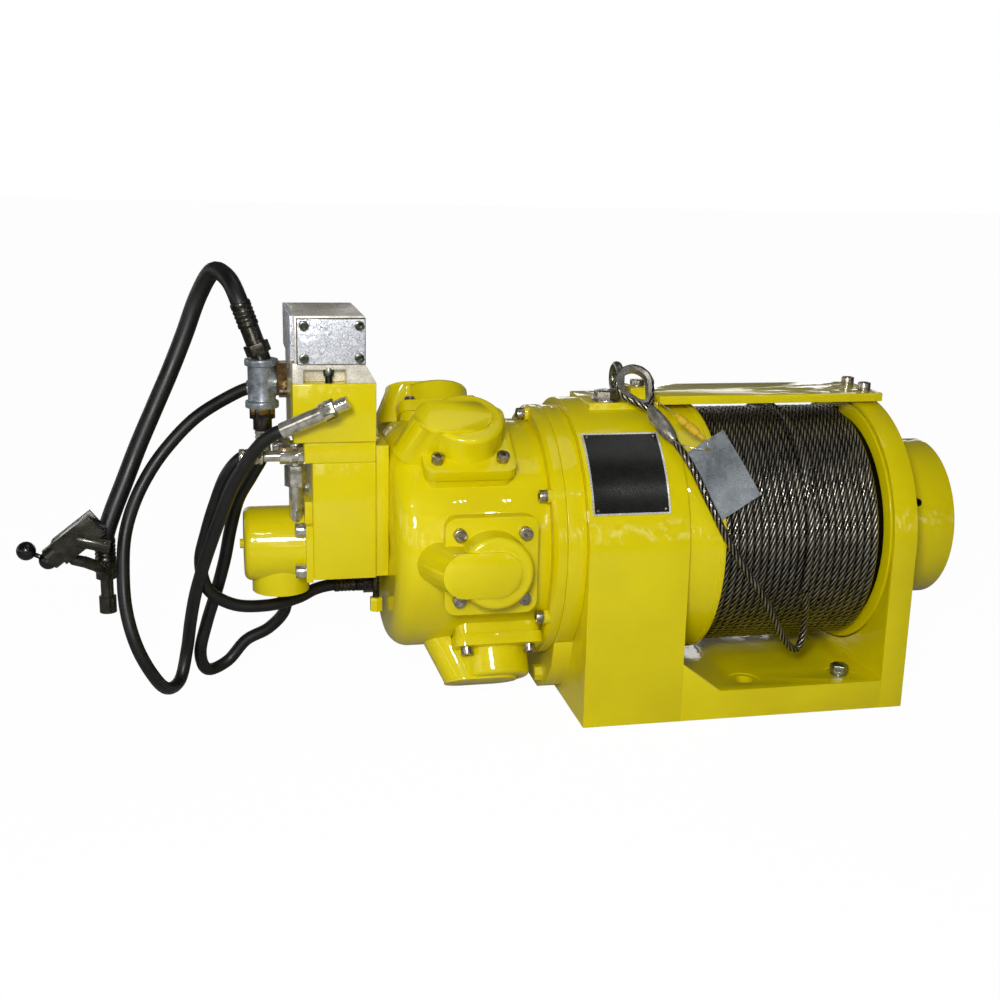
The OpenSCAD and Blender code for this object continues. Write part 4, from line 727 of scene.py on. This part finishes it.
def latheAlong(name, shape, base, way, finish, steps=40, replaced=(), closed=False):
    # a turned part from radius and height pairs in millimetres
    bm = bmesh.new()
    rim = [bm.verts.new((r * mm, 0, h * mm)) for r, h in shape]
    edges = [bm.edges.new(pair) for pair in zip(rim, rim[1:] + rim[:1 if closed else 0])]
    bmesh.ops.spin(bm, geom=rim + edges, cent=(0, 0, 0), axis=(0, 0, 1), angle=fullTurn, steps=steps,
        use_merge=True)
    bmesh.ops.remove_doubles(bm, verts=bm.verts, dist=0.01 * mm)
    bmesh.ops.transform(bm, matrix=standOn(base, way), verts=bm.verts)
    return makePiece(name, bm, finish, "frame", replaced)


thimbleShape = {"throatTurn": -65, "throatReach": 7, "lip": 17.2, "lipRise": 3.6, "lipTurn": 165}


def makeThimble(name, finish, c):
    # a channel bent round the eye; one flange stands higher towards the motor, and its throat is drawn out
    lean = math.radians(eye["lean"])
    axial = Vector((0, -math.cos(lean), -math.sin(lean)))
    centre = spot(*eye["middle"])
    bm = bmesh.new()
    rings = []
    for angle in range(0, 360, 5):
        out = (eyePoint(angle) - centre).normalized()
        toThroat = max(0, math.cos(math.radians(angle - c["throatTurn"]))) ** 8 * c["throatReach"]
        lip = c["lip"] + c["lipRise"] * max(0, math.cos(math.radians(angle - c["lipTurn"])))
        section = [(13.4, -5.2), (13.4, 5.2), (lip, 6.4), (lip + 0.3, 5.4), (14.4, 4.1), (14.4, -4.1),
            (17.5, -5.4), (17.2, -6.4)]
        rings.append([bm.verts.new(centre + out * (r + toThroat) * mm + axial * h * mm) for r, h in section])
    for k, ring in enumerate(rings):
        after = rings[(k + 1) % len(rings)]
        for i in range(len(ring)):
            bm.faces.new((ring[i], ring[(i + 1) % len(ring)], after[(i + 1) % len(ring)], after[i]))
    return makePiece(name, bm, finish, "frame", ["thimble"])


thimble = makeThimble("thimbleRing", "swaged", thimbleShape)
ferruleShape = [(0, -2), (4.3, -2), (5.2, 1), (6.9, 6), (7.9, 14), (8.0, 26), (7.0, 36), (5.4, 43),
    (4.4, 46), (0, 46)]
ferrule = latheAlong("ferrule", ferruleShape, ferruleStart, ferruleWay, "swaged",
    replaced=["thimble"])
print("rope eye made")


# Crimped sleeves on the hose ends: hose, which end, finish, length

crimpRings = {"count": 4, "clear": 0.05, "wall": 1.3, "depth": 0.6, "margin": 4}
sleeves = {
    "mainTopSleeve": ("mainHose", 0, "darkSteel", 26), "mainEndSleeve": ("mainHose", -1, "darkSteel", 24),
    "longStartSleeve": ("longHose", 0, "plated", 26), "returnTopSleeve": ("returnHose", 0, "plated", 24),
    "returnEndSleeve": ("returnHose", -1, "darkSteel", 22),
    "pilotStartSleeve": ("pilotHose", 0, "plated", 24), "pilotEndSleeve": ("pilotHose", -1, "darkSteel", 24)}
for name, (hose, end, finish, length) in sleeves.items():
    route = [spot(*p) for p in hoses[hose]["route"]]
    base = route[end]
    way = (route[1] - route[0]) if end == 0 else (route[-2] - route[-1])
    inner = hoses[hose]["diameter"] / 2 + crimpRings["clear"]
    outer = inner + crimpRings["wall"]
    waist = outer - crimpRings["depth"]
    shape = [(inner, 0.4), (outer - 0.5, 0.4), (outer, 1.0)]
    for k in range(crimpRings["count"]):
        h = crimpRings["margin"] + k * (length - 2 * crimpRings["margin"]) / crimpRings["count"]
        shape += [(outer, h), (waist, h + 0.8), (waist, h + 2.2), (outer, h + 3.0)]
    shape += [(outer, length - 1), (outer - 0.7, length), (inner, length)]
    latheAlong(name, shape, base, way, finish, 32, closed=True)
crimpHead = {"radius": 9.8, "height": 13, "rim": 0.9, "washer": 0}
nutPlace = tilt @ (crimp["base"] + crimp["way"] * crimp["nut"] * mm)
bm = scatter(hexHead(crimpHead), [(nutPlace, tilt.to_3x3() @ crimp["way"])])
makePiece("crimpNut", bm, "greenGrey", "frame")
print("sleeves made")


# Tag, its wire seal and the tie on the lifting eye

tagShape = {"middle": (152.9, -121, 258), "across": 53.5, "tall": 78, "thickness": 1, "turn": -34.5,
    "lean": -18.4, "hole": 31, "holeRadius": 2.5, "bend": 1.6, "hang": 5.8, "corner": (159.2, -112, 302.7),
    "shift": -4.4}


def makeTag(c):
    # a thin plate with a hole, a little bent, hanging from the wire
    bm = bmesh.new()
    bmesh.ops.create_grid(bm, x_segments=22, y_segments=40, size=0.5)
    for v in bm.verts:
        v.co = Vector((v.co.x * c["across"], 0, v.co.y * c["tall"]))
    middle = Vector((0, 0, c["hole"]))
    inner = [f for f in bm.faces if (f.calc_center_median() - middle).length < c["holeRadius"]]
    bmesh.ops.delete(bm, geom=inner, context="FACES")
    for v in bm.verts:
        away = v.co - middle
        if v.is_boundary and away.length < 2 * c["holeRadius"]:
            v.co = middle + away.normalized() * c["holeRadius"]
        v.co.y = -c["bend"] * math.cos(math.pi * v.co.z / c["tall"])
    made = bmesh.ops.extrude_face_region(bm, geom=list(bm.faces))["geom"]
    back = [g for g in made if isinstance(g, bmesh.types.BMVert)]
    bmesh.ops.translate(bm, verts=back, vec=(0, c["thickness"], 0))
    lean = Matrix.Rotation(math.radians(c["lean"]), 4, "X")
    turn = lean @ Matrix.Rotation(math.radians(c["turn"]), 4, "Y")
    shifted = spot(*c["middle"]) + Vector((c["shift"] * mm, 0, 0))
    place = Matrix.Translation(shifted) @ turn @ Matrix.Scale(mm, 4)
    corner = Matrix.Translation(spot(*c["corner"]))
    hang = corner @ Matrix.Rotation(math.radians(c["hang"]), 4, "Y") @ corner.inverted()
    bmesh.ops.transform(bm, matrix=hang @ place, verts=bm.verts)
    return makePiece("tagPlate", bm, "aluminium", "frame", ["tag"])


tagPlate = makeTag(tagShape)
sealBase, sealEnd = spot(94, -111, 322), spot(126, -113, 296)
sealShape = [(0, 0), (1.6, 0), (2.0, 4), (3.6, 5), (4.2, 8), (4.2, 14), (3.2, 15), (3.2, 17), (4.4, 18),
    (4.4, 30), (3.0, 31.5), (2.6, 40), (1.2, 41.5), (0, 41.5)]
latheAlong("wireSeal", sealShape, sealBase, sealEnd - sealBase, "sealYellow", 24)
wires = {
    "tagWire": [(84, -66, 318), (78.5, -75, 310.8), (86.5, -88, 301.5), (91.3, -101, 297.1),
        (99.9, -113, 291.6), (112.2, -121, 288.5), (124.1, -124, 287.7), (131, -120, 287)],
    "sealWire": [(83, -90, 331), (88, -102, 327), (94, -111, 322)],
    "sealWireEnd": [(125, -113, 296.8), (129, -114, 292), (131, -117, 288)]}
for name, route in wires.items():
    wire = sweep(name, smoothed([spot(*p) for p in route], 6), "plated", radius=0.6 * mm, around=2)
    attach(wire, "frame")


# The nut of the tee, the ring under it, and the small drain under the valve block

hexShape = {
    "teeNut": (spot(-290, -10, 348), (-1, 0, 0), 19, 11, "brassy"),
    "teeRing": (spot(-315, -10, 312), (0, 0, 1), 13.5, 11, "brassy"),
    "drainNub": (spot(-199.7, -20, 97), (0, 0, 1), 7, 15, "enamel")}
for name, (place, way, radius, height, finish) in hexShape.items():
    bm = scatter(hexHead({"radius": radius, "height": height, "rim": 0.8, "washer": 0}), [(place, way)])
    makePiece(name, bm, finish, "frame")
stemShape = [(0, 0), (3.6, 0), (3.6, 36), (0, 36)]
latheAlong("drainStem", stemShape, spot(-199.7, -20, 110), (0, 0, 1), "darkSteel", 20)

tieRoute = [(65, -9, 353), (60, -17, 357), (56, -32, 352), (52.6, -44, 346), (49, -49, 341), (54, -50, 335),
    (60, -38, 331), (65, -22, 334), (68, -12, 341)]
tie = sweep("eyeTie", smoothed([spot(*p) for p in tieRoute], 5), "steel", radius=0.7 * mm, around=3)
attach(tie, "frame")
print("tag made")

print("free rope end", round(lengthOf(tailLine), 3))

innerFinish = {
    "bearings": "steel", "rope_core": "rope", "ring_gear": "steel", "sun_gear": "steel", "planet_a": "steel",
    "planet_b": "steel", "planet_c": "steel", "carrier": "steel", "planet_cage": "steel",
    "brake_discs": "lining", "brake_plates": "steel", "brake_piston": "steel", "brake_springs": "steel",
    "pistons": "aluminium", "con_rods": "steel", "pins": "steel", "crankshaft": "steel",
    "rotary_valve": "bronze", "spool": "steel"}
for node, finish in innerFinish.items():
    mesh = frame["nodes"][node].data
    mesh.materials.clear()
    mesh.materials.append(finishes[finish])
print("inner pieces finished")


# Floor and light

def makeFloor():
    # pale paper: nearly white where it is seen, while the object mirrors it as dim as its light leaves it
    bm = bmesh.new()
    bmesh.ops.create_grid(bm, x_segments=1, y_segments=1, size=20)
    mesh = bpy.data.meshes.new("floor")
    bm.to_mesh(mesh)
    bm.free()
    paperGlow, paperShare = 1.03, 0.95
    material, tree, shader = startMaterial("paleFloor", Base_Color=grey(0.5), Roughness=0.8)[:3]
    paper = addNode(tree, "Emission", {"Strength": paperGlow}).outputs[0]
    seen = addNode(tree, "LightPath").outputs["Is Camera Ray"]
    share = addNode(tree, "Math", {0: seen, 1: paperShare}, operation="MULTIPLY").outputs[0]
    both = addNode(tree, "MixShader", {0: share, 1: shader.outputs[0], 2: paper})
    tree.links.new(both.outputs[0], tree.nodes["Material Output"].inputs["Surface"])
    mesh.materials.append(material)
    floor = bpy.data.objects.new("floor", mesh)
    bpy.context.scene.collection.objects.link(floor)


def makeLight(name, place, aim, size, power):
    data = bpy.data.lights.new(name, "AREA")
    data.size = size
    data.energy = power
    lamp = bpy.data.objects.new(name, data)
    lamp.location = place
    lamp.rotation_euler = (Vector(aim) - Vector(place)).to_track_quat("-Z", "Y").to_euler()
    bpy.context.scene.collection.objects.link(lamp)


def makeWorld():
    # a dim hall with bright openings low in its walls, which the gloss mirrors, and white where it is seen
    hallGlow, openingGlow = 0.07, 2.6
    world = bpy.data.worlds.new("studio")
    world.use_nodes = True
    tree = world.node_tree
    hall = tree.nodes["Background"]
    way = addNode(tree, "TexCoord").outputs["Generated"]
    axes = addNode(tree, "SeparateXYZ", {"Vector": way}).outputs
    wide = addNode(tree, "Mapping", {"Vector": way, "Scale": (26, 26, 5)}).outputs[0]
    openings = addNode(tree, "TexNoise", {"Vector": wide, "Scale": 1.0, "Detail": 2.0}).outputs[0]
    # the openings themselves, how high they reach, and only the left and middle of the hall
    bands = [
        (openings, (0.52, 0.56), (0.0, 1.0)),
        (axes["Z"], (0.22, 0.32), (1.0, 0.0)),
        (axes["X"], (0.55, 0.75), (1.0, 0.0))]
    bright = 1.0
    for source, between, values in bands:
        band = addNode(tree, "ValToRGB", {"Fac": source}, stops=zip(between, map(grey, values))).outputs[0]
        bright = addNode(tree, "Math", {0: band, 1: bright}, operation="MULTIPLY").outputs[0]
    glow = addNode(tree, "Math", {0: bright, 1: openingGlow, 2: hallGlow}, operation="MULTIPLY_ADD")
    tree.links.new(glow.outputs[0], hall.inputs["Strength"])
    hall.inputs["Color"].default_value = grey(1.0)
    paper = addNode(tree, "Background", {"Strength": 1.0, "Color": grey(1.0)})
    seen = addNode(tree, "LightPath").outputs["Is Camera Ray"]
    both = addNode(tree, "MixShader", {0: seen, 1: hall.outputs[0], 2: paper.outputs[0]})
    tree.links.new(both.outputs[0], tree.nodes["World Output"].inputs["Surface"])
    bpy.context.scene.world = world


lamps = {
    "keyLight": {"place": (-0.75, -1.4, 0.8), "aim": (-0.15, 0, 0.17), "size": 0.25, "power": 15},
    "topLight": {"place": (0.1, -0.2, 2.3), "aim": (0, 0, 0.1), "size": 1.2, "power": 3.5},
    "fillLight": {"place": (-2.3, -1.2, 0.8), "aim": (-0.2, 0, 0.15), "size": 0.6, "power": 1.5}}
for i in range(6):
    place = (-1.5 + 0.4 * i, -1.6, 1.7)
    lamps["hallLamp%d" % (i + 1)] = {"place": place, "aim": (-0.1, 0, 0.2), "size": 0.05, "power": 0.7}

makeFloor()
makeWorld()
for name, lamp in lamps.items():
    makeLight(name, lamp["place"], lamp["aim"], lamp["size"], lamp["power"])
bpy.context.scene.view_settings.view_transform = "Standard"
print("stage set")
